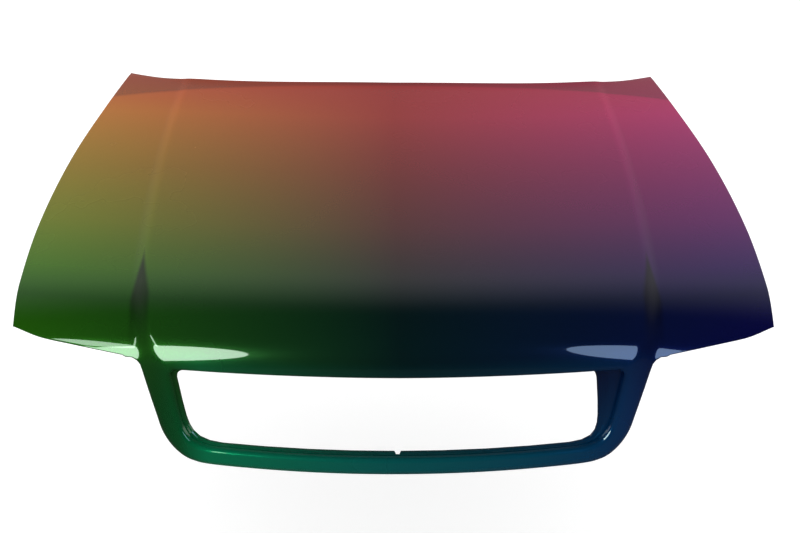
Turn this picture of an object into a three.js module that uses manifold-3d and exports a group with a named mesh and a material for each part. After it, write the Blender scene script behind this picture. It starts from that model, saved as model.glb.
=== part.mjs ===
// Car bonnet: a steel outer skin hemmed over a pressed inner frame, with a grille opening in its nose.
// Millimetres, +Z up, front towards -Y, +X to the right of somebody facing the car.
// Design zero is the middle of the rear edge; the hinge line becomes the origin at the end.
import * as THREE from "three";
import Module from "manifold-3d";

// Sheet thicknesses and fits
const skinThickness = 0.8;
const frameThickness = 0.7;
const surroundThickness = 0.8;
const plateThickness = 1.5;
const clearance = 0.3;
const hemRadius = (2 * skinThickness + frameThickness + 2 * clearance) / 2;
const hemReturn = 9;
const hemBand = 12;
const legHemReturn = 6;
const legHemBand = 8;

// Outer surface: centre line from the rear edge forward, as arcs with the slope at their two ends
const degree = Math.PI / 180;
const noseRadius = 75;
const profileArcs = [
  { length: 783, from: 2.2 * degree, to: 9 * degree },
  { length: 130, from: 9 * degree, to: 24 * degree },
  { length: noseRadius * 56 * degree, from: 24 * degree, to: 80 * degree },
  { length: 260, from: 80 * degree, to: 80 * degree },
];
const sideReference = 700;
const frontReference = 950;
const rearSweep = 125;
const frontSweep = 102;
const rearCrown = 40;
const frontCrown = 80;
const rearKick = 3.5;
const rearKickLength = 38;

// Grille opening; the rim's top edge runs a little further back at its two ends
const rimTopMiddle = 988;
const rimTopRise = 15;
const rimTopSide = rimTopMiddle - rimTopRise;
const rimHalf = 413;
const rimCorner = 22;
const rimRadius = 8;
const rimDepth = 13;

// Legs and rail around the opening, as [distance from the middle, height]
const railBottom = -373;
const railRim = -347;
const legTopWidth = 43;
const legOuterLine = [[rimHalf + 38.5, -222], [rimHalf + 31, -257], [rimHalf + 23.5, -290]];
const legRimLine = [[rimHalf - 2, -222], [rimHalf - 6, -257], [rimHalf - 11, -290]];
const cornerEnd = rimHalf - 78;
const outerCorner = [
  legOuterLine[2],
  [rimHalf + 15, railBottom + 28],
  [rimHalf - 11, railBottom + 2],
  [cornerEnd + 5, railBottom],
];
const rimCornerCurve = [
  legRimLine[2],
  [rimHalf - 17, railRim + 22],
  [rimHalf - 35, railRim + 1],
  [cornerEnd - 5, railRim],
];
const railShares = [0.75, 0.5, 0.25];
const cornerSteps = 5;
const legSetBack = 6;

// Outlines on that surface, each as [distance along the centre line, distance from the middle]
const sideLine = [[-21, 684], [170, 709], [400, 737], [620, 746.5], [790, 736], [888, 721]];
const creaseLine = [
  [-21, 527],
  [300, 522],
  [560, 507],
  [760, 487],
  [905, rimHalf + 42],
  [986, rimHalf + 18],
  [1180, rimHalf - 13],
];
const creaseWidthLine = [[-21, 26], [600, 32], [905, 40], [986, 56], [1180, 50]];
const creaseDropLine = [[-21, 1.5], [300, 2.5], [600, 4.5], [838, 8], [930, 9.5], [1180, 9.5]];
// These two as [distance from the middle, distance along the centre line]
const rearLine = [[0, 24], [300, 17], [455, 8], [600, -6], [684, -21]];
const armpitRadius = 25;
const armpitCentre = [rimHalf + legTopWidth + armpitRadius, rimTopSide + 7];
const headlampLine = [[armpitCentre[0] - 3, armpitCentre[1] - 26], [586, 929.5], [660, 911], [720, 888]];

// Grille surround behind the opening
const surroundLedgeDepth = 14.5;
const surroundBackDepth = 20;
const surroundLip = 5;
const insetLeft = 0.976;
const insetRightTop = 0.88;
const insetRightBottom = 0.978;
const insetTop = 12;
const insetBottom = 11;
const notchTop = 13;
const notchBottom = 6;
const notchDepth = 8;

// Inner frame
const hemLevel = skinThickness + clearance;
const flangeLevel = hemLevel + 3;
const floorLevel = 22;
const noseLevel = 32;
const windowCorner = 13;

// Hinge and latch fixings
const hingeX = 600;
const hingeY = 12;
const hingePad = [90, 50];
const hingeHeight = -56;
const hingeHolePitch = 50;
const fixingHole = 9;
const latchSetBack = 162;
const latchY = latchSetBack - rimTopMiddle;
const latchPad = [120, 60];
const latchHeight = -139;
const latchHolePitch = 80;
const plateMargin = 4;
const nutAcrossFlats = 13;
const nutHeight = 6.5;
const nutBore = 7;

// Mastic dabs between the skin and the frame
const dabLength = 36;
const dabWidth = 9;

const colours = { skin: 0x5a4632, frame: 0x2c2f33, surround: 0x14181c, plate: 0x8c9094, mastic: 0x3a3a38 };

const clamp = THREE.MathUtils.clamp;
const lerp = THREE.MathUtils.lerp;
const smooth = (t) => THREE.MathUtils.smoothstep(t, 0, 1);

// Smooth value between points given as [place, value], with matching slopes at each point
function along(points, place) {
  let i = 0;
  while (i < points.length - 2 && place > points[i + 1][0]) {
    i += 1;
  }
  const slope = (k) => {
    const a = points[Math.max(k - 1, 0)];
    const b = points[Math.min(k + 1, points.length - 1)];
    return (b[1] - a[1]) / (b[0] - a[0]);
  };
  const [x0, y0] = points[i];
  const [x1, y1] = points[i + 1];
  const width = x1 - x0;
  const t = clamp((place - x0) / width, 0, 1);
  const rise = y1 - y0;
  const a = slope(i) * width - rise;
  const b = rise - slope(i + 1) * width;
  return y0 + rise * t + t * (1 - t) * (a * (1 - t) + b * t);
}

function profile(place) {
  if (place < 0) {
    const slope = profileArcs[0].from;
    return { forward: place * Math.cos(slope), drop: place * Math.sin(slope), slope };
  }
  let left = place;
  let forward = 0;
  let drop = 0;
  let slope = 0;
  for (const arc of profileArcs) {
    const part = Math.min(left, arc.length);
    const bend = (arc.to - arc.from) / arc.length;
    slope = arc.from + bend * part;
    if (bend === 0) {
      forward += part * Math.cos(slope);
      drop += part * Math.sin(slope);
    } else {
      forward += (Math.sin(slope) - Math.sin(arc.from)) / bend;
      drop += (Math.cos(arc.from) - Math.cos(slope)) / bend;
    }
    left -= part;
    if (left <= 0) {
      break;
    }
  }
  return { forward, drop, slope };
}

const faceStart = profileArcs[0].length + profileArcs[1].length + profileArcs[2].length;
const faceProfile = profile(faceStart);

function crownAt(x, place) {
  const front = clamp(place / frontReference, 0, 1);
  return lerp(rearCrown, frontCrown, front) * (Math.abs(x) / sideReference) ** 2.2;
}

// Place along the centre line of a height on the grille face
function placeAt(x, height) {
  return faceStart + (-faceProfile.drop - crownAt(x, faceStart) - height) / Math.sin(faceProfile.slope);
}

// Point of the outer surface; the raised middle steps down to the sides over the crease
function surface(x, place) {
  const { forward, drop, slope } = profile(place);
  const side = Math.abs(x) / sideReference;
  const front = smooth(clamp(place / frontReference, 0, 1));
  const sweep = lerp(rearSweep * side ** 3, frontSweep * side ** 2, front);
  const across = (Math.abs(x) - along(creaseLine, place)) / along(creaseWidthLine, place) + 0.5;
  const step = along(creaseDropLine, place) * smooth(clamp(across, 0, 1));
  const fromRear = clamp(1 - (place - along(rearLine, Math.abs(x))) / rearKickLength, 0, 1);
  const kick = rearKick * fromRear ** 2 * (1 - smooth(clamp((Math.abs(x) - 480) / 120, 0, 1)));
  return new THREE.Vector3(
    x,
    sweep - forward + step * Math.sin(slope),
    -drop - crownAt(x, place) - step * Math.cos(slope) + kick,
  );
}

// A net of points with outward normals and faces, thickened into a closed sheet
class Net {
  constructor() {
    this.points = [];
    this.normals = [];
    this.faces = [];
  }
  add(point, normal = null) {
    this.points.push(point);
    this.normals.push(normal);
    return this.points.length - 1;
  }
  // A face of three or four corners; a corner that is given twice counts once
  face(...corners) {
    const different = corners.filter((corner, i) => corner !== corners[(i + 1) % corners.length]);
    if (different.length > 2) {
      this.faces.push(different);
    }
  }
  // Normals of the points that have none yet, from the faces around them
  fillNormals() {
    const sums = this.points.map(() => new THREE.Vector3());
    for (const face of this.faces) {
      const [a, b, c] = face.map((i) => this.points[i]);
      const d = this.points[face[face.length - 1]];
      const normal = new THREE.Vector3().crossVectors(c.clone().sub(a), d.clone().sub(b));
      if (face.length === 3) {
        normal.crossVectors(b.clone().sub(a), c.clone().sub(a));
      }
      normal.normalize();
      face.forEach((i) => sums[i].add(normal));
    }
    this.normals = this.normals.map((normal, i) => normal ?? sums[i].normalize());
  }
  // Quads are cut over the shorter diagonal, and where both are equal the two halves mirror each other
  triangles() {
    const list = [];
    for (const face of this.faces) {
      if (face.length === 3) {
        list.push(face);
        continue;
      }
      const [a, b, c, d] = face;
      const p = face.map((i) => this.points[i]);
      const gain = p[1].distanceTo(p[3]) - p[0].distanceTo(p[2]);
      const leftHalf = p[0].x + p[2].x < 0;
      if (Math.abs(gain) < 1e-3 ? leftHalf : gain > 0) {
        list.push([a, b, c], [a, c, d]);
      } else {
        list.push([a, b, d], [b, c, d]);
      }
    }
    return list;
  }
  thicken(thickness) {
    this.fillNormals();
    const count = this.points.length;
    const back = this.points.map((p, i) => p.clone().addScaledVector(this.normals[i], -thickness));
    const top = this.triangles();
    const edges = new Set();
    for (const [a, b, c] of top) {
      [[a, b], [b, c], [c, a]].forEach(([i, j]) => edges.add(i + "_" + j));
    }
    const all = [...top, ...top.map(([a, b, c]) => [c + count, b + count, a + count])];
    for (const edge of edges) {
      const [i, j] = edge.split("_").map(Number);
      if (!edges.has(j + "_" + i)) {
        all.push([j, i, i + count], [j, i + count, j + count]);
      }
    }
    return { points: [...this.points, ...back], triangles: all };
  }
}

// Local directions at each point of a border: outward in the sheet, and away from the face
function borderFrames(net, border, inner, closed) {
  return border.map((index, k) => {
    const point = net.points[index];
    const last = border.length - 1;
    const before = net.points[border[k === 0 ? (closed ? last : 0) : k - 1]];
    const after = net.points[border[k === last ? (closed ? 0 : last) : k + 1]];
    const tangent = after.clone().sub(before).normalize();
    const normal = net.normals[index].clone();
    normal.addScaledVector(tangent, -normal.dot(tangent)).normalize();
    const outward = new THREE.Vector3().crossVectors(tangent, normal);
    const towards = point.clone().sub(net.points[inner[k]]);
    if (outward.dot(towards) < 0) {
      outward.negate();
    }
    const arriving = point.clone().sub(before);
    const leaving = after.clone().sub(point);
    const turn = arriving.lengthSq() && leaving.lengthSq() ? arriving.angleTo(leaving) : 0;
    const mitre = 1 / Math.cos(Math.min(turn, 1.9) / 2);
    return { point, inner: net.points[inner[k]], normal, outward, mitre };
  });
}

// Join two rings of points with faces turned the same way as the net at the border
function joinRings(net, first, second, closed, flip) {
  const count = first.length;
  for (let k = 0; k < (closed ? count : count - 1); k += 1) {
    const next = (k + 1) % count;
    const corners = [first[k], first[next], second[next], second[k]];
    net.face(...(flip ? corners.reverse() : corners));
  }
}

// Outer skin: columns across the panel, counted from the middle, with their shares of each zone
const columnCount = 18;
const creaseFirst = 6;
const creaseLast = 10;
const rearShares = [0, 0.18, 0.36, 0.53, 0.7, 0.86, 1];
const frontMiddleShares = [0, 0.281, 0.55, 0.793, 1];
const wingShares = [0, 0.1, 0.22, 0.36, 0.52, 0.67, 0.83];
const wingFrontShares = [0.225, 0.468, 0.697, 0.874];
const rowPlaces = [
  0, 12, 38, 110, 200, 290, 380, 470, 560, 640,
  715, 783, 830, 872, 905, 919, 932, 945, 957, 969,
];
const lastRow = rowPlaces.length - 1;

const arcPoint = (centre, radius, angle) => [
  centre[0] + radius * Math.cos(angle),
  centre[1] - radius * Math.sin(angle),
];
const rimCentre = [rimHalf - rimCorner, rimTopSide + rimCorner];
const rimTopPlace = (x) => lerp(rimTopMiddle, rimTopSide, (x / rimCentre[0]) ** 2);
const rimArc = (angle) => arcPoint(rimCentre, rimCorner, angle * degree);
const armpitArc = (angle) => arcPoint(armpitCentre, armpitRadius, (180 - angle) * degree);

// Stations down one leg and along the rail to its middle: outer edge, rim and how far the edge is set back
const bezier = (corners, t) => {
  const point = new THREE.CubicBezierCurve(...corners.map((c) => new THREE.Vector2(...c))).getPoint(t);
  return [point.x, point.y];
};
const onFace = ([x, height]) => [x, placeAt(x, height)];
const stations = [
  { outer: armpitArc(45), rim: rimArc(45), setBack: 0, band: hemBand },
  { outer: armpitArc(20), rim: rimArc(22.5), setBack: 1, band: hemBand },
  { outer: armpitArc(0), rim: rimArc(0), setBack: 3, band: legHemBand + 2 },
];
legOuterLine.forEach((outer, i) => {
  stations.push({ outer: onFace(outer), rim: onFace(legRimLine[i]), setBack: legSetBack, band: legHemBand });
});
for (let i = 1; i <= cornerSteps; i += 1) {
  const outer = bezier(outerCorner, i / cornerSteps);
  const rim = bezier(rimCornerCurve, i / cornerSteps);
  stations.push({ outer: onFace(outer), rim: onFace(rim), setBack: legSetBack, band: legHemBand });
}
for (const share of [...railShares, 0]) {
  const x = share * cornerEnd;
  stations.push({
    outer: onFace([x, railBottom]),
    rim: onFace([x, railRim]),
    setBack: legSetBack,
    band: legHemBand,
  });
}
const legLines = 4;
const distance = (a, b) => Math.hypot(a[0] - b[0], a[1] - b[1]);
function linePoint(station, line) {
  const edgeShare = station.band / distance(station.outer, station.rim);
  const share = line === 0 ? 0 : lerp(edgeShare, 1, (line - 1) / (legLines - 1));
  return [lerp(station.outer[0], station.rim[0], share), lerp(station.outer[1], station.rim[1], share)];
}

// Front end of each column, on the rim, across the top of the leg, or on the headlamp line
function columnFront(column) {
  if (column < frontMiddleShares.length) {
    const x = frontMiddleShares[column] * rimCentre[0];
    return [x, rimTopPlace(x)];
  }
  if (column < creaseFirst) {
    return rimArc(67.5);
  }
  if (column <= creaseLast) {
    return linePoint(stations[0], creaseLast - column);
  }
  if (column <= creaseLast + 2) {
    return armpitArc(column === creaseLast + 1 ? 70 : 97);
  }
  const half = sideLine[sideLine.length - 1][1];
  const share = wingFrontShares[column - creaseLast - 3] ?? 1;
  const x = column === columnCount ? half : lerp(armpitArc(97)[0], half - hemBand, share);
  return [x, along(headlampLine, x)];
}

// Distance of a column from the middle at a place along the panel
function columnX(column, place, forward) {
  const crease = along(creaseLine, place);
  const halfCrease = along(creaseWidthLine, place) / 2;
  const near = crease - halfCrease;
  const far = crease + halfCrease;
  if (column <= creaseFirst) {
    const front = columnFront(column)[0] / columnFront(creaseFirst)[0];
    return near * lerp(rearShares[column], front, forward ** 2);
  }
  if (column <= creaseLast) {
    const first = columnFront(creaseFirst)[0];
    const front = (columnFront(column)[0] - first) / (columnFront(creaseLast)[0] - first);
    return lerp(near, far, lerp((column - creaseFirst) / (creaseLast - creaseFirst), front, forward ** 2));
  }
  const edge = along(sideLine, place);
  if (column >= columnCount - 1) {
    return edge - hemBand * (columnCount - column);
  }
  const start = columnFront(creaseLast)[0];
  const front = (columnFront(column)[0] - start) / (columnFront(columnCount)[0] - start);
  return lerp(far, edge, lerp(wingShares[column - creaseLast], front, forward ** 3));
}

function mainPoint(row, column) {
  const [frontX, frontPlace] = columnFront(column);
  if (row === lastRow) {
    return [frontX, frontPlace];
  }
  const rearPlace = along(rearLine, columnX(column, 0, 0));
  if (row < 2) {
    const place = rearPlace + rowPlaces[row];
    return [columnX(column, place, 0), place];
  }
  const share = (rowPlaces[row] - rowPlaces[2]) / (rowPlaces[lastRow - 1] - rowPlaces[2]);
  const place = lerp(rearPlace + rowPlaces[2], frontPlace - hemBand, share);
  return [columnX(column, place, share), place];
}

const skin = new Net();
const main = [];
for (let row = 0; row <= lastRow; row += 1) {
  main.push([]);
  for (let column = -columnCount; column <= columnCount; column += 1) {
    const [x, place] = mainPoint(row, Math.abs(column));
    main[row].push(skin.add(surface(Math.sign(column) * x, place)));
  }
}
const at = (row, column) => main[row][column + columnCount];
for (let row = 0; row < lastRow; row += 1) {
  for (let column = -columnCount; column < columnCount; column += 1) {
    skin.face(at(row, column), at(row + 1, column), at(row + 1, column + 1), at(row, column + 1));
  }
}

// The band of the two legs and the rail, from the right-hand leg round to the left-hand one
const middleStation = stations.length - 1;
const stationCount = 2 * middleStation;
const band = [];
for (let k = 0; k <= stationCount; k += 1) {
  const right = k <= middleStation;
  const station = stations[right ? k : stationCount - k];
  const sign = right ? 1 : -1;
  if (k === 0 || k === stationCount) {
    band.push([0, 1, 2, 3, 4].map((line) => at(lastRow, sign * (creaseLast - line))));
    continue;
  }
  band.push([0, 1, 2, 3, 4].map((line) => {
    const [x, place] = linePoint(station, line);
    const point = surface(sign * x, place);
    const back = station.setBack * [1, 0.25, 0, 0, 0][line];
    const slope = profile(place).slope;
    return skin.add(point.add(new THREE.Vector3(0, back * Math.sin(slope), -back * Math.cos(slope))));
  }));
}
for (let k = 0; k < stationCount; k += 1) {
  for (let line = 0; line < legLines; line += 1) {
    skin.face(band[k][line + 1], band[k + 1][line + 1], band[k + 1][line], band[k][line]);
  }
}
skin.fillNormals();

// Outer border, from the left armpit over the rear edge to the right armpit and back along the rail
const border = [];
const ring = [];
const returns = [];
function borderAdd(outer, inner, length) {
  border.push(outer);
  ring.push(inner);
  returns.push(length);
}
const armpitRelief = (column) => (column <= creaseLast + 1 ? 2 : column === creaseLast + 2 ? 5 : hemReturn);
for (let column = creaseLast + 1; column < columnCount; column += 1) {
  borderAdd(at(lastRow, -column), at(lastRow - 1, -column), armpitRelief(column));
}
borderAdd(at(lastRow, -columnCount), at(lastRow - 1, 1 - columnCount), hemReturn);
for (let row = lastRow - 1; row > 0; row -= 1) {
  borderAdd(at(row, -columnCount), at(row, 1 - columnCount), hemReturn);
}
borderAdd(at(0, -columnCount), at(1, 1 - columnCount), hemReturn);
for (let column = 1 - columnCount; column < columnCount; column += 1) {
  borderAdd(at(0, column), at(1, column), hemReturn);
}
borderAdd(at(0, columnCount), at(1, columnCount - 1), hemReturn);
for (let row = 1; row < lastRow; row += 1) {
  borderAdd(at(row, columnCount), at(row, columnCount - 1), hemReturn);
}
borderAdd(at(lastRow, columnCount), at(lastRow - 1, columnCount - 1), hemReturn);
for (let column = columnCount - 1; column > creaseLast; column -= 1) {
  borderAdd(at(lastRow, column), at(lastRow - 1, column), armpitRelief(column));
}
borderAdd(at(lastRow, creaseLast), at(lastRow - 1, creaseLast - 1), 2);
for (let k = 1; k < stationCount; k += 1) {
  const fromArmpit = Math.min(k, stationCount - k);
  borderAdd(band[k][0], band[k][1], fromArmpit < 3 ? 2 * fromArmpit : legHemReturn);
}
borderAdd(at(lastRow, -creaseLast), at(lastRow - 1, 1 - creaseLast), 2);

const borderFrame = borderFrames(skin, border, ring, true);
const bandWidth = borderFrame.map((f) => {
  const inward = f.point.clone().sub(f.inner);
  return Math.abs(inward.dot(f.outward)) / f.mitre;
});
let previous = border;
for (const angle of [60, 120, 180]) {
  const next = borderFrame.map((f) => {
    const point = f.point.clone().addScaledVector(f.outward, hemRadius * Math.sin(angle * degree) * f.mitre);
    point.addScaledVector(f.normal, -hemRadius * (1 - Math.cos(angle * degree)));
    const normal = f.outward.clone().multiplyScalar(Math.sin(angle * degree));
    return skin.add(point, normal.addScaledVector(f.normal, Math.cos(angle * degree)).normalize());
  });
  joinRings(skin, previous, next, true, false);
  previous = next;
}
const returned = borderFrame.map((f, k) => {
  const share = Math.min(returns[k] / bandWidth[k], 0.85);
  const point = f.point.clone().lerp(f.inner, share).addScaledVector(f.normal, -2 * hemRadius);
  return skin.add(point, f.normal.clone().negate());
});
joinRings(skin, previous, returned, true, false);

// Border of the opening, along its top from left to right, then down the right leg and round
const rimBorder = [];
const rimInner = [];
for (let column = -creaseFirst; column <= creaseFirst; column += 1) {
  rimBorder.push(at(lastRow, column));
  rimInner.push(at(lastRow - 1, column));
}
for (let k = 1; k < stationCount; k += 1) {
  rimBorder.push(band[k][legLines]);
  rimInner.push(band[k][legLines - 1]);
}
const rimFrame = borderFrames(skin, rimBorder, rimInner, true);
previous = rimBorder;
for (const angle of [30, 60, 90]) {
  const next = rimFrame.map((f) => {
    const point = f.point.clone().addScaledVector(f.outward, rimRadius * Math.sin(angle * degree) * f.mitre);
    point.addScaledVector(f.normal, -rimRadius * (1 - Math.cos(angle * degree)));
    const normal = f.outward.clone().multiplyScalar(Math.sin(angle * degree));
    return skin.add(point, normal.addScaledVector(f.normal, Math.cos(angle * degree)).normalize());
  });
  joinRings(skin, previous, next, true, true);
  previous = next;
}
const wallEnd = rimFrame.map((f) => {
  const point = f.point.clone().addScaledVector(f.outward, rimRadius * f.mitre);
  return skin.add(point.addScaledVector(f.normal, -rimDepth), f.outward.clone());
});
joinRings(skin, previous, wallEnd, true, true);

// Point and normal of the faceted skin at a row number and a distance from the middle
function onSkin(rowNumber, x) {
  const row = clamp(Math.floor(rowNumber), 0, lastRow - 1);
  const t = rowNumber - row;
  const pointAt = (c) => skin.points[at(row, c)].clone().lerp(skin.points[at(row + 1, c)], t);
  let column = -columnCount;
  while (column < columnCount - 1 && pointAt(column + 1).x < x) {
    column += 1;
  }
  const a = pointAt(column);
  const b = pointAt(column + 1);
  const u = clamp((x - a.x) / (b.x - a.x), 0, 1);
  const normalAt = (c) => skin.normals[at(row, c)].clone().lerp(skin.normals[at(row + 1, c)], t);
  return { point: a.lerp(b, u), normal: normalAt(column).lerp(normalAt(column + 1), u).normalize() };
}

// Row number of a place along the centre line
function rowOf(place) {
  let row = 0;
  while (row < lastRow - 1 && rowPlaces[row + 1] < place) {
    row += 1;
  }
  return row + (place - rowPlaces[row]) / (rowPlaces[row + 1] - rowPlaces[row]);
}

// Distance of the skin's side from the middle at a row number
const sideX = (rowNumber) => onSkin(rowNumber, 2 * sideReference).point.x;

// Inner frame: lines across, each with its place at the rear and at the front, and its depth
const frameHalf = [
  { rear: 60, front: 60, level: flangeLevel },
  { rear: 105, front: 180, level: flangeLevel },
  { rear: 150, front: 225, level: flangeLevel, edge: true },
  { rear: 162, front: 238, level: flangeLevel },
  { rear: 175, front: 252, level: floorLevel },
  { rear: 205, front: 284, level: floorLevel },
  { rear: 218, front: 298, level: flangeLevel },
  { rear: 230, front: 311, level: flangeLevel, edge: true },
  { rear: 275, front: 356, level: flangeLevel },
  { rear: 375, front: 447, level: flangeLevel },
  { rear: 482, front: 560, level: flangeLevel },
  { rear: 527, front: 602, level: flangeLevel, edge: true },
  { rear: 541, front: 616, level: flangeLevel },
  { fromSide: [129, 86], level: floorLevel },
  { fromSide: [42, 48], level: floorLevel },
  { fromSide: [26, 26], level: floorLevel },
];
const frameRows = [
  { place: 26, level: floorLevel },
  { place: 40, level: floorLevel },
  { place: 90, level: floorLevel },
  { place: 112, level: floorLevel },
  { place: 126, level: flangeLevel },
  { place: 140, level: flangeLevel, edge: true },
  { place: 185, level: flangeLevel },
  { place: 280, level: flangeLevel },
  { place: 375, level: flangeLevel },
  { place: 420, level: flangeLevel, edge: true },
  { place: 434, level: flangeLevel },
  { place: 448, level: floorLevel },
  { place: 492, level: floorLevel },
  { place: 506, level: flangeLevel },
  { place: 520, level: flangeLevel, edge: true },
  { place: 565, level: flangeLevel },
  { place: 645, level: flangeLevel },
  { place: 725, level: flangeLevel },
  { place: 770, level: flangeLevel, edge: true },
  { place: 784, level: flangeLevel },
  { place: rimTopMiddle - 188, level: noseLevel },
  { place: rimTopMiddle - 128, level: noseLevel },
  { place: rimTopMiddle - 83, level: flangeLevel + 6, nose: true },
  { place: rimTopMiddle - 58, level: flangeLevel + 1, nose: true },
  { place: rimTopMiddle - 31, level: flangeLevel + 1, nose: true },
];
const halfLines = frameHalf.length;
const lineOf = (column) => (column < halfLines ? halfLines - 1 - column : column - halfLines);
const frameColumns = Array.from({ length: 2 * halfLines }, (unused, column) => frameHalf[lineOf(column)]);
const frameEnd = frameRows.length - 1;
const wingStart = 500;

// True for the gap after a line when it lies between a pair of window edges
function inWindow(lines, index) {
  return lines.slice(0, index + 1).filter((line) => line.edge).length % 2 === 1;
}

const frame = new Net();
const frameGrid = frameRows.map((rowLine, row) => frameColumns.map((line, column) => {
  const forward = row / frameEnd;
  const sign = column < halfLines ? -1 : 1;
  let place = rowLine.place;
  let x = line.fromSide
    ? sideX(rowOf(place)) - lerp(...line.fromSide, forward)
    : lerp(line.rear, line.front, forward);
  x *= sign;
  if (line.edge && rowLine.edge) {
    x += inWindow(frameColumns, column) ? windowCorner : -windowCorner;
    place += inWindow(frameRows, row) ? windowCorner : -windowCorner;
  }
  const wing = rowLine.nose && Math.abs(x) > wingStart;
  let level = rowLine.nose ? rowLine.level : Math.max(line.level, rowLine.level);
  let rowNumber = rowOf(place);
  if (wing) {
    level = floorLevel;
    rowNumber = Math.min(rowNumber, lastRow - 1.9);
  }
  const { point, normal } = onSkin(rowNumber, x);
  return frame.add(point.addScaledVector(normal, -level));
}));
for (let row = 0; row < frameEnd; row += 1) {
  for (let column = 0; column < frameColumns.length - 1; column += 1) {
    if (inWindow(frameRows, row) && inWindow(frameColumns, column)) {
      continue;
    }
    const g = frameGrid;
    frame.face(g[row][column], g[row + 1][column], g[row + 1][column + 1], g[row][column + 1]);
  }
}

// Flat level pads pressed into the floor of the frame
function flatPad(row, column, centre, size, height) {
  for (const [r, c] of [[0, 0], [0, 1], [1, 0], [1, 1]]) {
    const index = frameGrid[row + r][column + c];
    const x = centre[0] + (c - 0.5) * size[0];
    const y = centre[1] + (0.5 - r) * size[1];
    frame.points[index].set(x, y, height);
    frame.normals[index] = new THREE.Vector3(0, 0, 1);
  }
}
flatPad(1, 1, [-hingeX, hingeY], hingePad, hingeHeight);
flatPad(1, 2 * halfLines - 3, [hingeX, hingeY], hingePad, hingeHeight);
flatPad(20, halfLines - 1, [0, latchY], latchPad, latchHeight);

// The frame's flange inside the fold, at the skin's own points, then a wall down to its floor
const firstClamped = border.indexOf(at(lastRow, -(creaseLast + 3)));
const lastClamped = border.indexOf(at(lastRow, creaseLast + 3));
const flangeEdge = [];
const flangeFoot = [];
const footOf = new Map();
for (let k = firstClamped; k <= lastClamped; k += 1) {
  const f = borderFrame[k];
  const edge = f.point.clone().lerp(f.inner, 0.1).addScaledVector(f.normal, -hemLevel);
  flangeEdge.push(frame.add(edge));
  if (!footOf.has(ring[k])) {
    const foot = f.inner.clone().addScaledVector(skin.normals[ring[k]], -hemLevel);
    footOf.set(ring[k], frame.add(foot));
  }
  flangeFoot.push(footOf.get(ring[k]));
}
joinRings(frame, flangeEdge, flangeFoot, false, true);
const lineX = (column) => Math.abs(frame.points[frameGrid[frameEnd][column]].x);
const floorEdge = [];
for (let column = halfLines - 1; column >= 0; column -= 1) {
  if (lineX(column) > wingStart) {
    floorEdge.push(frameGrid[frameEnd][column]);
  }
}
for (let row = frameEnd - 1; row >= 0; row -= 1) {
  floorEdge.push(frameGrid[row][0]);
}
for (let column = 1; column < 2 * halfLines; column += 1) {
  floorEdge.push(frameGrid[0][column]);
}
for (let row = 1; row <= frameEnd; row += 1) {
  floorEdge.push(frameGrid[row][2 * halfLines - 1]);
}
for (let column = 2 * halfLines - 2; column >= halfLines; column -= 1) {
  if (lineX(column) > wingStart) {
    floorEdge.push(frameGrid[frameEnd][column]);
  }
}

// Faces between two open runs of points, always over the shorter diagonal
function zip(net, first, second) {
  let i = 0;
  let j = 0;
  while (i < first.length - 1 || j < second.length - 1) {
    const gap = (a, b) => net.points[first[a]].distanceTo(net.points[second[b]]);
    const stepFirst = i < first.length - 1 ? gap(i + 1, j) : Infinity;
    const stepSecond = j < second.length - 1 ? gap(i, j + 1) : Infinity;
    if (stepFirst <= stepSecond) {
      net.face(first[i + 1], first[i], second[j]);
      i += 1;
    } else {
      net.face(first[i], second[j], second[j + 1]);
      j += 1;
    }
  }
}
zip(frame, flangeFoot, floorEdge);

// Grille surround: a stepped ring behind the rim, from the rim's wall in to the edge of the opening
const rimPlaces = [];
for (let column = -creaseFirst; column <= creaseFirst; column += 1) {
  const [x, place] = mainPoint(lastRow, Math.abs(column));
  rimPlaces.push([Math.sign(column) * x, place]);
}
for (let k = 1; k < stationCount; k += 1) {
  const station = stations[k <= middleStation ? k : stationCount - k];
  rimPlaces.push([(k <= middleStation ? 1 : -1) * station.rim[0], station.rim[1]]);
}
const rimBottomPlace = stations[middleStation].rim[1];
const surround = new Net();
const surroundRings = [[], [], [], [], [], []];
rimFrame.forEach((f, k) => {
  const [x, place] = rimPlaces[k];
  const down = clamp((place - rimTopMiddle) / (rimBottomPlace - rimTopMiddle), 0, 1);
  const inset = x < 0 ? insetLeft : lerp(insetRightTop, insetRightBottom, down);
  const edge = surface(x * inset, place + lerp(insetTop, -insetBottom, down));
  const wallGap = (rimRadius - skinThickness - clearance) * f.mitre;
  const wall = f.point.clone().addScaledVector(f.outward, wallGap);
  const section = [
    [0, rimRadius + 1],
    [0, surroundLedgeDepth],
    [0.5, surroundLedgeDepth],
    [0.6, surroundBackDepth - 2],
    [1, surroundBackDepth],
    [1, surroundBackDepth + surroundLip],
  ];
  section.forEach(([share, depth], i) => {
    surroundRings[i].push(surround.add(wall.clone().lerp(edge, share).addScaledVector(f.normal, -depth)));
  });
});
for (let i = 0; i < surroundRings.length - 1; i += 1) {
  joinRings(surround, surroundRings[i], surroundRings[i + 1], true, true);
}

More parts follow.
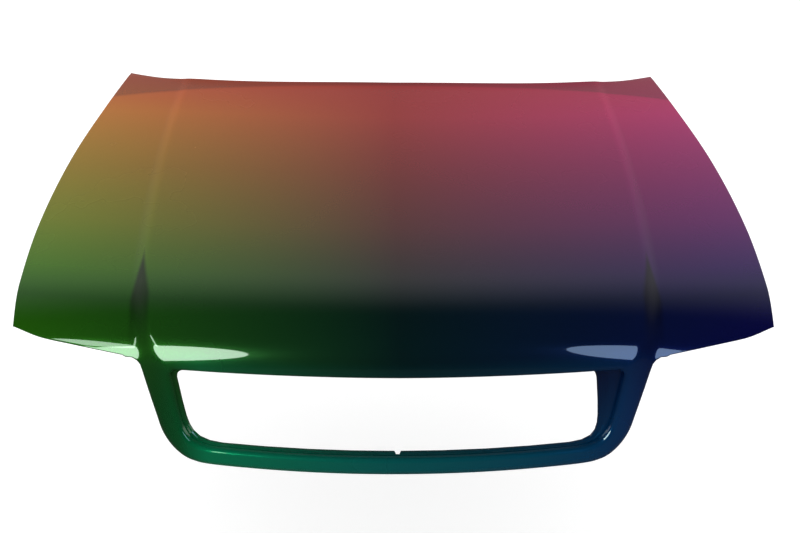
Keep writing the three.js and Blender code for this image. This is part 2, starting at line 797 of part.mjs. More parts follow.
// Stiffener inside the legs and the rail, held in the fold along their outer edge
const stiffener = new Net();
const stiffenerRuns = [[], [], [], [], []];
for (let k = 3; k <= stationCount - 3; k += 1) {
  const [outer, inner, , , rim] = band[k].map((index) => skin.points[index]);
  const [outerNormal, innerNormal] = band[k].map((index) => skin.normals[index]);
  const run = (i, point, normal, depth) => {
    stiffenerRuns[i].push(stiffener.add(point.addScaledVector(normal, -depth)));
  };
  run(0, outer.clone().lerp(inner, 0.15), outerNormal, hemLevel);
  run(1, inner.clone(), innerNormal, hemLevel);
  run(2, inner.clone().lerp(rim, 0.25), innerNormal, 10);
  run(3, inner.clone().lerp(rim, 0.45), innerNormal, 18);
  run(4, inner.clone().lerp(rim, 0.8), innerNormal, 18);
}
for (let i = 0; i < stiffenerRuns.length - 1; i += 1) {
  joinRings(stiffener, stiffenerRuns[i], stiffenerRuns[i + 1], false, true);
}

// Closed solids, their cuts and the finished meshes
const wasm = await Module();
wasm.setup();
function solid({ points, triangles }) {
  return new wasm.Manifold(new wasm.Mesh({
    numProp: 3,
    vertProperties: new Float32Array(points.flatMap((p) => [p.x, p.y, p.z])),
    triVerts: new Uint32Array(triangles.flat()),
  }));
}

// Prism between two equal outlines
function prism(bottom, top) {
  const count = bottom.length;
  const triangles = [];
  for (let i = 0; i < count; i += 1) {
    const next = (i + 1) % count;
    triangles.push([i, next, next + count], [i, next + count, i + count]);
    if (i > 0 && i < count - 1) {
      triangles.push([0, next, i], [count, count + i, count + next]);
    }
  }
  return solid({ points: [...bottom, ...top], triangles });
}
function polygon(sides, radius, x, y, z) {
  return Array.from({ length: sides }, (unused, i) => {
    const angle = ((i + 0.5) / sides) * 2 * Math.PI;
    return new THREE.Vector3(x + radius * Math.cos(angle), y + radius * Math.sin(angle), z);
  });
}
const post = (sides, radius, x, y, low, high) => prism(
  polygon(sides, radius, x, y, low),
  polygon(sides, radius, x, y, high),
);
function block(x, y, width, length, low, high) {
  const corners = [[-1, -1], [1, -1], [1, 1], [-1, 1]];
  const outline = (z) => corners.map(([a, b]) => new THREE.Vector3(x + a * width / 2, y + b * length / 2, z));
  return prism(outline(low), outline(high));
}

const hingeHoles = [-1, 1].flatMap((side) => [-1, 1].map((end) => (
  { x: side * hingeX + end * hingeHolePitch / 2, y: hingeY, z: hingeHeight, side, end }
)));
const latchHoles = [-1, 1].map((end) => ({ x: end * latchHolePitch / 2, y: latchY, z: latchHeight, end }));
const drill = (body, holes) => holes.reduce(
  (rest, hole) => rest.subtract(post(12, fixingHole / 2, hole.x, hole.y, hole.z - 8, hole.z + 8)),
  body,
);

const skinBody = solid(skin.thicken(skinThickness));
const frameBody = drill(solid(frame.thicken(frameThickness)), [...hingeHoles, ...latchHoles]);
const middleRim = rimFrame[2 * creaseFirst + middleStation];
const notchCorner = (x, depth, rise) => middleRim.point.clone()
  .add(new THREE.Vector3(x, 0, 0))
  .addScaledVector(middleRim.normal, -depth)
  .addScaledVector(middleRim.outward, rise);
const notchEnd = surroundBackDepth + surroundLip;
const notchOutline = (rise) => [
  notchCorner(-notchBottom / 2, notchEnd - notchDepth, rise),
  notchCorner(notchBottom / 2, notchEnd - notchDepth, rise),
  notchCorner(notchTop / 2, notchEnd + 1, rise),
  notchCorner(-notchTop / 2, notchEnd + 1, rise),
];
const notch = prism(notchOutline(4), notchOutline(18));
const surroundBody = solid(surround.thicken(surroundThickness)).subtract(notch);
const stiffenerBody = solid(stiffener.thicken(frameThickness));

const group = new THREE.Group();
group.name = "car_bonnet";
const origin = new THREE.Vector3(0, hingeY, hingeHeight - frameThickness);
function addMesh(name, body, colour, roughness, metalness) {
  const mesh = body.getMesh();
  const geometry = new THREE.BufferGeometry();
  geometry.setAttribute("position", new THREE.BufferAttribute(new Float32Array(mesh.vertProperties), 3));
  geometry.setIndex(new THREE.BufferAttribute(new Uint32Array(mesh.triVerts), 1));
  geometry.computeVertexNormals();
  const material = new THREE.MeshStandardMaterial({ color: colour, roughness, metalness });
  const part = new THREE.Mesh(geometry, material);
  part.name = name;
  part.position.copy(origin).negate();
  group.add(part);
}

addMesh("outer_skin", skinBody, colours.skin, 0.25, 0.3);
addMesh("inner_frame", frameBody, colours.frame, 0.45, 0.3);
addMesh("grille_surround", surroundBody, colours.surround, 0.4, 0.3);
addMesh("rail_stiffener", stiffenerBody, colours.frame, 0.45, 0.3);

// Plates on the pads, with a weld nut over each hole
const plateLow = clearance;
const nutLow = plateLow + plateThickness + clearance;
function addPlate(name, x, y, z, [width, length], holes) {
  const low = z + plateLow;
  const body = block(x, y, width - 2 * plateMargin, length - 2 * plateMargin, low, low + plateThickness);
  addMesh(name, drill(body, holes), colours.plate, 0.4, 0.8);
}
function addNut(name, hole) {
  const radius = nutAcrossFlats / 2 / Math.cos(Math.PI / 6);
  const low = hole.z + nutLow;
  const body = post(6, radius, hole.x, hole.y, low, low + nutHeight);
  const bore = post(12, nutBore / 2, hole.x, hole.y, low - 1, low + nutHeight + 1);
  addMesh(name, body.subtract(bore), colours.plate, 0.35, 0.9);
}
for (const side of [-1, 1]) {
  const word = side < 0 ? "left" : "right";
  const holes = hingeHoles.filter((hole) => hole.side === side);
  addPlate("hinge_plate_" + word, side * hingeX, hingeY, hingeHeight, hingePad, holes);
  for (const hole of holes) {
    const place = hole.end === side ? "outer" : "inner";
    addNut("hinge_nut_" + word + "_" + place, hole);
  }
}
addPlate("latch_plate", 0, latchY, latchHeight, latchPad, latchHoles);
for (const hole of latchHoles) {
  addNut("latch_nut_" + (hole.end < 0 ? "left" : "right"), hole);
}

// Mastic dabs on the frame's flanges: rows of the frame, and columns counted from the middle
const dabRows = [4, 9, 13, 18];
const dabColumns = [-9, 0, 9];
for (const row of dabRows) {
  for (const column of dabColumns) {
    const left = column === 0 ? halfLines - 1 : column < 0 ? halfLines - 1 + column : halfLines + column - 1;
    const corners = [[0, 0], [1, 0], [1, 1], [0, 1]]
      .map(([r, c]) => frame.points[frameGrid[row + r][left + c]]);
    const centre = corners.reduce((sum, p) => sum.add(p), new THREE.Vector3()).multiplyScalar(0.25);
    const across = corners[2].clone().add(corners[3]).sub(corners[0]).sub(corners[1]).normalize();
    const forward = corners[1].clone().add(corners[2]).sub(corners[0]).sub(corners[3]).normalize();
    const up = new THREE.Vector3().crossVectors(forward, across).normalize();
    const ahead = new THREE.Vector3().crossVectors(across, up).normalize();
    const outline = (height) => Array.from({ length: 10 }, (unused, i) => {
      const angle = (i / 10) * 2 * Math.PI;
      return centre.clone()
        .addScaledVector(across, (dabLength / 2) * Math.cos(angle))
        .addScaledVector(ahead, (-dabWidth / 2) * Math.sin(angle))
        .addScaledVector(up, height);
    });
    const top = flangeLevel - skinThickness - clearance - 0.15;
    const zone = ["left", "middle", "right"][dabColumns.indexOf(column)];
    const name = "mastic_dab_" + zone + "_" + (dabRows.indexOf(row) + 1);
    addMesh(name, prism(outline(clearance), outline(top)), colours.mastic, 0.9, 0);
  }
}

export default group;
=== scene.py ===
import bpy
import math
import numpy as np
from mathutils import Matrix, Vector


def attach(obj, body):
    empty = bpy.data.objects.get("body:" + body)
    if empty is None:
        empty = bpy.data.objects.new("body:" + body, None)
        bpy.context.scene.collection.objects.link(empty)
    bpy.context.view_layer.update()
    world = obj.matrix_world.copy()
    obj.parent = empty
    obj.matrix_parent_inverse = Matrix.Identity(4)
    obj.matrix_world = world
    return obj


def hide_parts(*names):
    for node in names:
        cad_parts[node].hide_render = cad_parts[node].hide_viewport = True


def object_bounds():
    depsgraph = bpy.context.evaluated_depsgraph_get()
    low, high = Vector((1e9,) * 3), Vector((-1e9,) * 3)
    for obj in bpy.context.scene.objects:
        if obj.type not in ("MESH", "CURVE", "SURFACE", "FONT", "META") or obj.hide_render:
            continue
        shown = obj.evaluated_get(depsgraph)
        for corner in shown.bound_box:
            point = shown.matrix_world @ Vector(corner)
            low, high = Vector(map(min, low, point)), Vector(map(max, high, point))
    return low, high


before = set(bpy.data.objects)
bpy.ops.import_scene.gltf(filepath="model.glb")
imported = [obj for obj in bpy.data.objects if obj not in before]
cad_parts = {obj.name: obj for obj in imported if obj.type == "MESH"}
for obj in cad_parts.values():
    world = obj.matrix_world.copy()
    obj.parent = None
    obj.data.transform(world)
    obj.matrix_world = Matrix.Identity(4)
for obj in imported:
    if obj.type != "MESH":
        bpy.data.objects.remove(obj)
cadBox = [list(corner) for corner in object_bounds()]
cadLow, cadHigh = np.array(cadBox[0]), np.array(cadBox[1])
designOrigin = np.array([0.0, 12.0, -56.7])  # the hinge line in the pressing's own frame, mm
print("frame loaded:", len(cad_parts), "nodes")


# sRGB hex to the linear values that the shaders take
def linearColour(text):
    values = [int(text[i:i + 2], 16) / 255 for i in (1, 3, 5)]
    return [v / 12.92 if v <= 0.04045 else ((v + 0.055) / 1.055) ** 2.4 for v in values] + [1.0]


# One node with its settings, links and ramp stops; a link is a (node, output) pair, a plain value sets the
# socket, and a stop is a place on a colour ramp with a hex colour or a grey level
def addNode(tree, kind, settings=None, inputs=None, stops=()):
    made = tree.nodes.new(kind)
    for name, value in (settings or {}).items():
        setattr(made, name, value)
    for name, value in (inputs or {}).items():
        socket = made.inputs[name]
        if isinstance(value, tuple) and isinstance(value[0], bpy.types.Node):
            tree.links.new(value[0].outputs[value[1]], socket)
        else:
            socket.default_value = value
    for _ in stops[2:]:
        made.color_ramp.elements.new(0.5)
    for i, (position, level) in enumerate(stops):
        element = made.color_ramp.elements[i]
        element.position = position
        element.color = linearColour(level) if isinstance(level, str) else (level, level, level, 1)
    return made


# The two ends of a range as inputs of a node
def ends(side, pair):
    return {side + " Min": pair[0], side + " Max": pair[1]}


# Settings that many nodes share
smoothRange = {"interpolation_type": "SMOOTHSTEP"}
mixing = {"data_type": "RGBA", "blend_type": "MIX"}
darkening = {"data_type": "RGBA", "blend_type": "MULTIPLY"}

# The pressing: a centre profile, a crown across it and a crease on each side, in mm
pressing = {
    # length of each part of the centre profile and its slope in degrees at the start and end
    "profile": [(783, 2.2, 9), (130, 9, 24), (75 * math.radians(56), 24, 80), (260, 80, 80)],
    "sideReference": 700,
    "frontReference": 950,
    "sweep": (125, 102),               # how far the sides lie behind the middle, at the rear and the front
    "crown": (40, 80),                 # and how far below it
    "crownPower": 2.2,
    "kick": (3.5, 38),                 # the rear edge's rise and how far it reaches
    "kickFade": (480, 120),            # where it dies away to the sides
    # lines on the sheet, as places from the rear and half-widths, widths or depths there
    "sideLine": [(-21, 684), (170, 709), (400, 737), (620, 746.5), (790, 736), (888, 721)],
    "creaseLine": [(-21, 527), (300, 522), (560, 507), (760, 487), (905, 455), (986, 431), (1180, 400)],
    "creaseWidth": [(-21, 26), (600, 32), (905, 40), (986, 56), (1180, 50)],
    "creaseDrop": [(-21, 1.5), (300, 2.5), (600, 4.5), (838, 8), (930, 9.5), (1180, 9.5)],
    # and as half-widths and places there
    "rearLine": [(0, 24), (300, 17), (455, 8), (600, -6), (684, -21)],
    "headlampLine": [(478, 954), (586, 929.5), (660, 911), (720, 888)],
    "rimTop": (988, 973),
    "rimHalf": 413,
    "rimCorner": 22,
    "rimCornerTurn": 67.5,             # deg, where the crease's first column meets the rim's corner
    "rimRadius": 8,
    "rimDepth": 13,
    "armpit": (481, 980, 25),          # centre and radius of the arc between wing and leg
    "armpitTurns": (70, 97),
    # the leg's first stations: angles on the armpit and on the rim's corner, set-back, width of the fold
    "legTop": [(45, 45, 0, 12), (20, 22.5, 1, 12), (0, 0, 3, 10)],
    # on the grille face, as half-widths and heights
    "legOuter": [(451.5, -222), (444, -257), (436.5, -290)],
    "legRim": [(411, -222), (407, -257), (402, -290)],
    "outerCorner": [(436.5, -290), (428, -345), (402, -371), (340, -373)],
    "rimCornerCurve": [(402, -290), (396, -325), (378, -346), (330, -347)],
    "rail": (-373, -347, 335),         # its lower edge, the rim above it, and its half-length
    "railShares": (0.75, 0.5, 0.25, 0),
    "legSetBack": 6,
    "setBackShares": (1, 0.25, 0, 0, 0),   # of the set-back, from a leg's outer edge to the rim
    "hemBand": 12,                     # width of the folded hem, and along the legs
    "legHemBand": 8,
    "hemRadius": 1.45,
    "skinThickness": 0.8,
}


# Smooth values through knots given as (place, value)
def along(knots, place):
    knots = np.array(knots, float)
    at, value = knots[:, 0], knots[:, 1]
    order = np.arange(len(at))
    before, after = np.maximum(order - 1, 0), np.minimum(order + 1, len(at) - 1)
    slope = (value[after] - value[before]) / (at[after] - at[before])
    i = np.clip(np.searchsorted(at, place) - 1, 0, len(at) - 2)
    width = at[i + 1] - at[i]
    t = np.clip((place - at[i]) / width, 0, 1)
    rise = value[i + 1] - value[i]
    a = slope[i] * width - rise
    b = rise - slope[i + 1] * width
    return value[i] + rise * t + t * (1 - t) * (a * (1 - t) + b * t)


def smoothStep(t):
    t = np.clip(t, 0, 1)
    return t * t * (3 - 2 * t)


# Forward run, drop and slope of the centre profile at a distance along it
def centreProfile(place):
    place = np.asarray(place, float)
    first = math.radians(pressing["profile"][0][1])
    behind = np.minimum(place, 0)
    forward, drop = behind * math.cos(first), behind * math.sin(first)
    slope = np.full(place.shape, first)
    left = np.maximum(place, 0)
    for length, start, end in pressing["profile"]:
        start, end = math.radians(start), math.radians(end)
        part = np.clip(left, 0, length)
        bend = (end - start) / length
        angle = start + bend * part
        if bend:
            forward = forward + (np.sin(angle) - math.sin(start)) / bend
            drop = drop + (math.cos(start) - np.cos(angle)) / bend
        else:
            forward, drop = forward + part * math.cos(start), drop + part * math.sin(start)
        slope = np.where(part > 0, angle, slope)
        left = left - part
    return forward, drop, slope


def crownAt(x, place):
    rear, front = pressing["crown"]
    share = np.clip(place / pressing["frontReference"], 0, 1)
    return (rear + (front - rear) * share) * (np.abs(x) / pressing["sideReference"]) ** pressing["crownPower"]


# Place along the profile of a height on the grille face
def placeAt(x, height):
    start = sum(arc[0] for arc in pressing["profile"][:3])
    _, drop, slope = centreProfile(start)
    return start + (-drop - crownAt(x, start) - height) / math.sin(slope)


# Points of the outer face, set back from it where told
def outerFace(x, place, back=0.0):
    forward, drop, slope = centreProfile(place)
    side = np.abs(x) / pressing["sideReference"]
    share = smoothStep(place / pressing["frontReference"])
    rearSweep, frontSweep = pressing["sweep"]
    sweep = rearSweep * side ** 3 * (1 - share) + frontSweep * side ** 2 * share
    across = (np.abs(x) - along(pressing["creaseLine"], place)) / along(pressing["creaseWidth"], place)
    step = along(pressing["creaseDrop"], place) * smoothStep(across + 0.5)
    height, length = pressing["kick"]
    fromRear = np.clip(1 - (place - along(pressing["rearLine"], np.abs(x))) / length, 0, 1)
    fadeFrom, fadeLength = pressing["kickFade"]
    kick = height * fromRear ** 2 * (1 - smoothStep((np.abs(x) - fadeFrom) / fadeLength))
    y = sweep - forward + (step + back) * np.sin(slope)
    z = -drop - crownAt(x, place) - (step + back) * np.cos(slope) + kick
    return np.stack([x + 0 * y, y, z], axis=-1)


# The net of the skin: how the columns and rows share it out, and how finely each gap is divided
net = {
    "columnCount": 18,
    "creaseFirst": 6,
    "creaseLast": 10,
    "rearShares": [0, 0.18, 0.36, 0.53, 0.7, 0.86, 1],
    "frontMiddleShares": [0, 0.281, 0.55, 0.793, 1],
    "wingShares": [0, 0.1, 0.22, 0.36, 0.52, 0.67, 0.83],
    "wingFrontShares": [0.225, 0.468, 0.697, 0.874],
    "rows": [0, 12, 38, 110, 200, 290, 380, 470, 560, 640, 715, 783, 830, 872, 905, 919, 932, 945, 957, 969],
    "rowSteps": [4, 5, 7, 8, 8, 8, 8, 8, 8, 8, 8, 7, 7, 6, 4, 4, 4, 4, 5],
    "columnSteps": 5,
    "stationSteps": 6,
    "cornerSteps": 5,
    "hemRings": 8,
    "hemLines": 4,
    "hemRelief": 2,                    # columns from an armpit to the hem's full width on the panel
    "hemEase": 3,                      # and stations on the leg
    "hemLeast": 0.22,                  # share of that width at the armpit itself
    "rimRings": 8,
    "rimInward": 4,                    # lines in from the rim that give the sheet's direction there
    "sharpestTurn": 1.9,               # rad, a border's corner is stretched no further than this
    "sharpAngle": 40,                  # deg, edges sharper than this are shown sharp
}


# Refines a table along its first axis, smoothly and without overshoot
def refine(table, counts):
    table = np.asarray(table, float)
    step = np.diff(table, axis=0)
    slope = np.concatenate([step[:1], (step[1:] + step[:-1]) / 2, step[-1:]])
    rows = []
    for i, count in enumerate(counts):
        limit = 3 * np.abs(step[i])
        a = np.clip(slope[i], -limit, limit) - step[i]
        b = step[i] - np.clip(slope[i + 1], -limit, limit)
        for t in np.arange(count) / count:
            rows.append(table[i] + step[i] * t + t * (1 - t) * (a * (1 - t) + b * t))
    rows.append(table[-1])
    return np.array(rows)


def mix(a, b, t):
    return a + (b - a) * t


rimCentre = (pressing["rimHalf"] - pressing["rimCorner"], pressing["rimTop"][1] + pressing["rimCorner"])


def rimArc(angle):
    turn, radius = math.radians(angle), pressing["rimCorner"]
    return rimCentre[0] + radius * math.cos(turn), rimCentre[1] - radius * math.sin(turn)


def armpitArc(angle):
    turn = math.radians(180 - angle)
    x, place, radius = pressing["armpit"]
    return x + radius * math.cos(turn), place - radius * math.sin(turn)


def bezier(corners, t):
    shares = [(1 - t) ** 3, 3 * t * (1 - t) ** 2, 3 * t * t * (1 - t), t ** 3]
    return tuple(sum(s * c[i] for s, c in zip(shares, corners)) for i in (0, 1))


def onFace(point):
    return point[0], float(placeAt(point[0], point[1]))


# Stations down one leg and along the rail: outer edge, rim, set-back of the edge, width of its fold
def legStations():
    fold, back = pressing["legHemBand"], pressing["legSetBack"]
    made = [(armpitArc(a), rimArc(r), setBack, width) for a, r, setBack, width in pressing["legTop"]]
    for outer, rim in zip(pressing["legOuter"], pressing["legRim"]):
        made.append((onFace(outer), onFace(rim), back, fold))
    for i in range(1, net["cornerSteps"] + 1):
        t = i / net["cornerSteps"]
        outer, rim = bezier(pressing["outerCorner"], t), bezier(pressing["rimCornerCurve"], t)
        made.append((onFace(outer), onFace(rim), back, fold))
    bottom, rimHeight, end = pressing["rail"]
    for share in pressing["railShares"]:
        x = share * end
        made.append((onFace((x, bottom)), onFace((x, rimHeight)), back, fold))
    return made


stations = legStations()


# The lines along a leg: the edge, the inner end of its fold, and evenly on to the rim
def stationLine(station, line):
    outer, rim, _, width = station
    edge, gaps = width / math.dist(outer, rim), net["creaseLast"] - net["creaseFirst"] - 1
    share = 0 if line == 0 else mix(edge, 1, (line - 1) / gaps)
    return mix(outer[0], rim[0], share), mix(outer[1], rim[1], share)


# Front end of each column: on the rim, across the top of the leg, or on the headlamp line
def columnFront(column):
    if column < len(net["frontMiddleShares"]):
        share = net["frontMiddleShares"][column]
        return share * rimCentre[0], mix(*pressing["rimTop"], share ** 2)
    if column < net["creaseFirst"]:
        return rimArc(pressing["rimCornerTurn"])
    if column <= net["creaseLast"]:
        return stationLine(stations[0], net["creaseLast"] - column)
    if column <= net["creaseLast"] + 2:
        return armpitArc(pressing["armpitTurns"][column - net["creaseLast"] - 1])
    half = pressing["sideLine"][-1][1]
    shares = net["wingFrontShares"] + [1]
    share = shares[min(column - net["creaseLast"] - 3, len(shares) - 1)]
    start = armpitArc(pressing["armpitTurns"][1])[0]
    x = half if column == net["columnCount"] else mix(start, half - pressing["hemBand"], share)
    return x, float(along(pressing["headlampLine"], x))


def columnX(column, place, forward):
    first, last, count = net["creaseFirst"], net["creaseLast"], net["columnCount"]
    crease = float(along(pressing["creaseLine"], place))
    halfCrease = float(along(pressing["creaseWidth"], place)) / 2
    if column <= first:
        front = columnFront(column)[0] / columnFront(first)[0]
        return (crease - halfCrease) * mix(net["rearShares"][column], front, forward ** 2)
    if column <= last:
        start, end = columnFront(first)[0], columnFront(last)[0]
        front = (columnFront(column)[0] - start) / (end - start)
        share = mix((column - first) / (last - first), front, forward ** 2)
        return mix(crease - halfCrease, crease + halfCrease, share)
    edge = float(along(pressing["sideLine"], place))
    if column >= count - 1:
        return edge - pressing["hemBand"] * (count - column)
    start, end = columnFront(last)[0], columnFront(count)[0]
    front = (columnFront(column)[0] - start) / (end - start)
    return mix(crease + halfCrease, edge, mix(net["wingShares"][column - last], front, forward ** 3))


def netPoint(row, column):
    rows, lastRow = net["rows"], len(net["rows"]) - 1
    frontX, frontPlace = columnFront(column)
    if row == lastRow:
        return frontX, frontPlace
    rear = float(along(pressing["rearLine"], columnX(column, 0.0, 0)))
    if row < 2:
        place = rear + rows[row]
        return columnX(column, place, 0), place
    share = (rows[row] - rows[2]) / (rows[lastRow - 1] - rows[2])
    place = mix(rear + rows[2], frontPlace - pressing["hemBand"], share)
    return columnX(column, place, share), place


# Normals of a net of quads, averaged at its points
def netNormals(points, quads):
    a, b, c, d = (points[quads[:, i]] for i in range(4))
    facing = np.cross(c - a, d - b)
    normals = np.zeros_like(points)
    for i in range(4):
        np.add.at(normals, quads[:, i], facing)
    return normals / np.maximum(np.linalg.norm(normals, axis=1, keepdims=True), 1e-12)


def unit(vectors):
    return vectors / np.maximum(np.linalg.norm(vectors, axis=-1, keepdims=True), 1e-12)


# Directions at a closed border: outward in the sheet, off its face, and the stretch at a corner
def borderDirections(points, normals, border, inner):
    here, back, ahead = points[border], points[np.roll(border, 1)], points[np.roll(border, -1)]
    tangent = unit(ahead - back)
    normal = normals[border]
    normal = unit(normal - tangent * np.sum(normal * tangent, axis=1, keepdims=True))
    outward = np.cross(tangent, normal)
    towards = np.sum(outward * (here - points[inner]), axis=1)
    outward[towards < 0] *= -1
    turn = np.sum(unit(here - back) * unit(ahead - here), axis=1)
    stretch = 1 / np.cos(np.minimum(np.arccos(np.clip(turn, -1, 1)), net["sharpestTurn"]) / 2)
    return here, normal, outward, stretch[:, None]


def ringQuads(first, second, flip):
    quads = np.stack([first, np.roll(first, -1), np.roll(second, -1), second], axis=1)
    return quads[:, ::-1] if flip else quads


# A net and its normals made into a closed sheet of even thickness; gives also the number of its shown faces
def closedSheet(points, normals, quads, thickness):
    count = len(points)
    back = points - normals * thickness
    edges = np.concatenate([quads[:, [i, (i + 1) % 4]] for i in range(4)])
    keys = edges[:, 0].astype(np.int64) * count + edges[:, 1]
    single = edges[~np.isin(keys, edges[:, 1].astype(np.int64) * count + edges[:, 0])]
    rim = np.stack([single[:, 1], single[:, 0], single[:, 0] + count, single[:, 1] + count], axis=1)
    allQuads = np.concatenate([quads, rim, quads[:, ::-1] + count])
    return np.concatenate([points, back]), allQuads, len(quads) + len(rim)


# A mesh object at the origin of the row's frame, from points in the pressing's frame in mm; the faces after
# the shown ones take the second material
def sheetObject(name, points, quads, shownFaces, sharpAngle):
    metres = np.clip((points - designOrigin) / 1000, cadLow, cadHigh)
    mesh = bpy.data.meshes.new(name)
    mesh.from_pydata(metres.tolist(), [], quads.tolist())
    mesh.polygons.foreach_set("use_smooth", [True] * len(quads))
    mesh.polygons.foreach_set("material_index", (np.arange(len(quads)) >= shownFaces).astype(np.int32))
    mesh.set_sharp_from_angle(angle=math.radians(sharpAngle))
    made = bpy.data.objects.new(name, mesh)
    bpy.context.scene.collection.objects.link(made)
    return made


# The outer skin: the main panel, the band of legs and rail, the folded hem and the bent rim
def buildSkin():
    count, first, last = net["columnCount"], net["creaseFirst"], net["creaseLast"]
    steps = net["columnSteps"]
    rows, columns = range(len(net["rows"])), range(count + 1)
    half = np.array([[netPoint(row, column) for column in columns] for row in rows])
    coarse = np.concatenate([half[:, :0:-1] * [-1, 1], half], axis=1)
    main = refine(coarse, net["rowSteps"])
    main = refine(main.transpose(1, 0, 2), [steps] * (2 * count)).transpose(1, 0, 2)
    main[0, :, 1] = along(pressing["rearLine"], np.abs(main[0, :, 0]))
    main[:, 0, 0] = -along(pressing["sideLine"], main[:, 0, 1])
    main[:, -1, 0] = along(pressing["sideLine"], main[:, -1, 1])
    wing = np.abs(main[-1, :, 0]) > armpitArc(pressing["armpitTurns"][1])[0]
    main[-1, wing, 1] = along(pressing["headlampLine"], np.abs(main[-1, wing, 0]))
    rowTotal, columnTotal = main.shape[:2]
    at = np.arange(rowTotal * columnTotal).reshape(rowTotal, columnTotal)

    # the band leaves the main panel at the right armpit and joins it again at the left one
    seam = main[-1, (count + first) * steps:(count + last) * steps + 1][::-1]
    right = [np.concatenate([seam, np.zeros((len(seam), 1))], axis=1)]
    shares = pressing["setBackShares"]
    for station in stations[1:]:
        lines = [[*stationLine(station, i), station[2] * shares[i]] for i in range(len(shares))]
        right.append(refine(lines, [steps] * (len(shares) - 1)))
    left = [line * [-1, 1, 1] for line in right[-2::-1]]
    band = refine(right + left, [net["stationSteps"]] * (2 * len(stations) - 2))
    bandTotal, across = band.shape[0], band.shape[1]
    inside = np.arange((bandTotal - 2) * across).reshape(bandTotal - 2, across) + at.size
    seamRight = at[-1, (count + first) * steps:(count + last) * steps + 1][::-1]
    seamLeft = at[-1, (count - last) * steps:(count - first) * steps + 1]
    bandAt = np.concatenate([seamRight[None], inside, seamLeft[None]])

    bandInside = band[1:-1].reshape(-1, 3)
    points = np.concatenate([
        outerFace(main[..., 0].ravel(), main[..., 1].ravel()),
        outerFace(bandInside[:, 0], bandInside[:, 1], bandInside[:, 2]),
    ])
    mainQuads = np.stack([at[:-1, :-1], at[1:, :-1], at[1:, 1:], at[:-1, 1:]], axis=-1).reshape(-1, 4)
    bandQuads = np.stack([bandAt[:-1, 1:], bandAt[1:, 1:], bandAt[1:, :-1], bandAt[:-1, :-1]], axis=-1)
    quads = np.concatenate([mainQuads, bandQuads.reshape(-1, 4)])
    normals = netNormals(points, quads)

    # the outer border from the left armpit round by the rear edge, each point with the ones further in
    # and the share of the hem's width that it gets, which is less beside an armpit
    leftArmpit, rightArmpit = (count - last) * steps, (count + last) * steps
    lastColumn = columnTotal - 1
    relief = net["hemRelief"] * steps
    hemLines = range(net["hemLines"] + 1)

    def inward(column, line):                       # at the panel's corners the lines go in on the diagonal
        return {0: line, lastColumn: lastColumn - line}.get(column, column)

    chains = []
    for c in range(leftArmpit - 1, -1, -1):
        chains.append(([at[-1 - s, inward(c, s)] for s in hemLines], (leftArmpit - c) / relief))
    chains += [([at[r, s] for s in hemLines], 1) for r in range(rowTotal - 2, 0, -1)]
    chains += [([at[s, inward(c, s)] for s in hemLines], 1) for c in range(columnTotal)]
    chains += [([at[r, -1 - s] for s in hemLines], 1) for r in range(1, rowTotal - 1)]
    for c in range(lastColumn, rightArmpit - 1, -1):
        chains.append(([at[-1 - s, inward(c, s)] for s in hemLines], (c - rightArmpit) / relief))
    for k in range(1, bandTotal - 1):
        fromArmpit = min(k, bandTotal - 1 - k) / net["stationSteps"]
        chains.append(([bandAt[k, s] for s in hemLines], fromArmpit / net["hemEase"]))
    chains.append(([at[-1 - s, leftArmpit] for s in hemLines], 0))
    chainAt = np.array([chain for chain, _ in chains])
    reach = np.clip([share for _, share in chains], net["hemLeast"], 1)[:, None]

    allPoints, allNormals, allQuads = [points], [normals], [quads]
    total = len(points)

    def addRing(previous, ringPoints, ringNormals, flip):
        nonlocal total
        ring = np.arange(total, total + len(ringPoints))
        total += len(ringPoints)
        allPoints.append(ringPoints)
        allNormals.append(unit(ringNormals))
        allQuads.append(ringQuads(previous, ring, flip))
        return ring

    def foldRings(ring, directions, radius, most, ringCount, flip):
        here, normal, outward, stretch = directions
        for i in range(1, ringCount + 1):
            turn = most * i / ringCount
            out, down = math.sin(turn), 1 - math.cos(turn)
            ringPoints = here + outward * radius * out * stretch - normal * radius * down
            ring = addRing(ring, ringPoints, outward * out + normal * math.cos(turn), flip)
        return ring

    # the hem folds right round and lies back under the sheet
    border, radius = chainAt[:, 0], pressing["hemRadius"]
    directions = borderDirections(points, normals, border, chainAt[:, -1])
    ring = foldRings(border, directions, radius, math.pi, net["hemRings"], False)
    for s in hemLines[1:]:
        inner = chainAt[:, s]
        under = mix(directions[0], points[inner], reach) - normals[inner] * 2 * radius
        ring = addRing(ring, under, -normals[inner], False)

    # the rim of the opening bends down by a right angle and ends in a short wall
    top = np.arange((count - first) * steps, (count + first) * steps + 1)
    rim = np.concatenate([at[-1, top], bandAt[1:-1, -1]])
    rimInner = np.concatenate([at[-net["rimInward"], top], bandAt[1:-1, -net["rimInward"]]])
    directions, radius = borderDirections(points, normals, rim, rimInner), pressing["rimRadius"]
    ring = foldRings(rim, directions, radius, math.pi / 2, net["rimRings"], True)
    here, normal, outward, stretch = directions
    addRing(ring, here + outward * radius * stretch - normal * pressing["rimDepth"], outward, True)

    allParts = (np.concatenate(part) for part in (allPoints, allNormals, allQuads))
    sheet = closedSheet(*allParts, pressing["skinThickness"])
    return sheetObject("outerSkin", *sheet, sharpAngle=net["sharpAngle"])


outerSkin = buildSkin()
print("outer skin:", len(outerSkin.data.polygons), "faces")

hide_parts("outer_skin")
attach(outerSkin, "root")


# A material with an empty tree
def newMaterial(name):
    made = bpy.data.materials.new(name)
    made.use_nodes = True
    made.node_tree.nodes.clear()
    return made, made.node_tree


noiseSpread = (0.3, 0.7)  # nearly all values of a noise texture lie between these


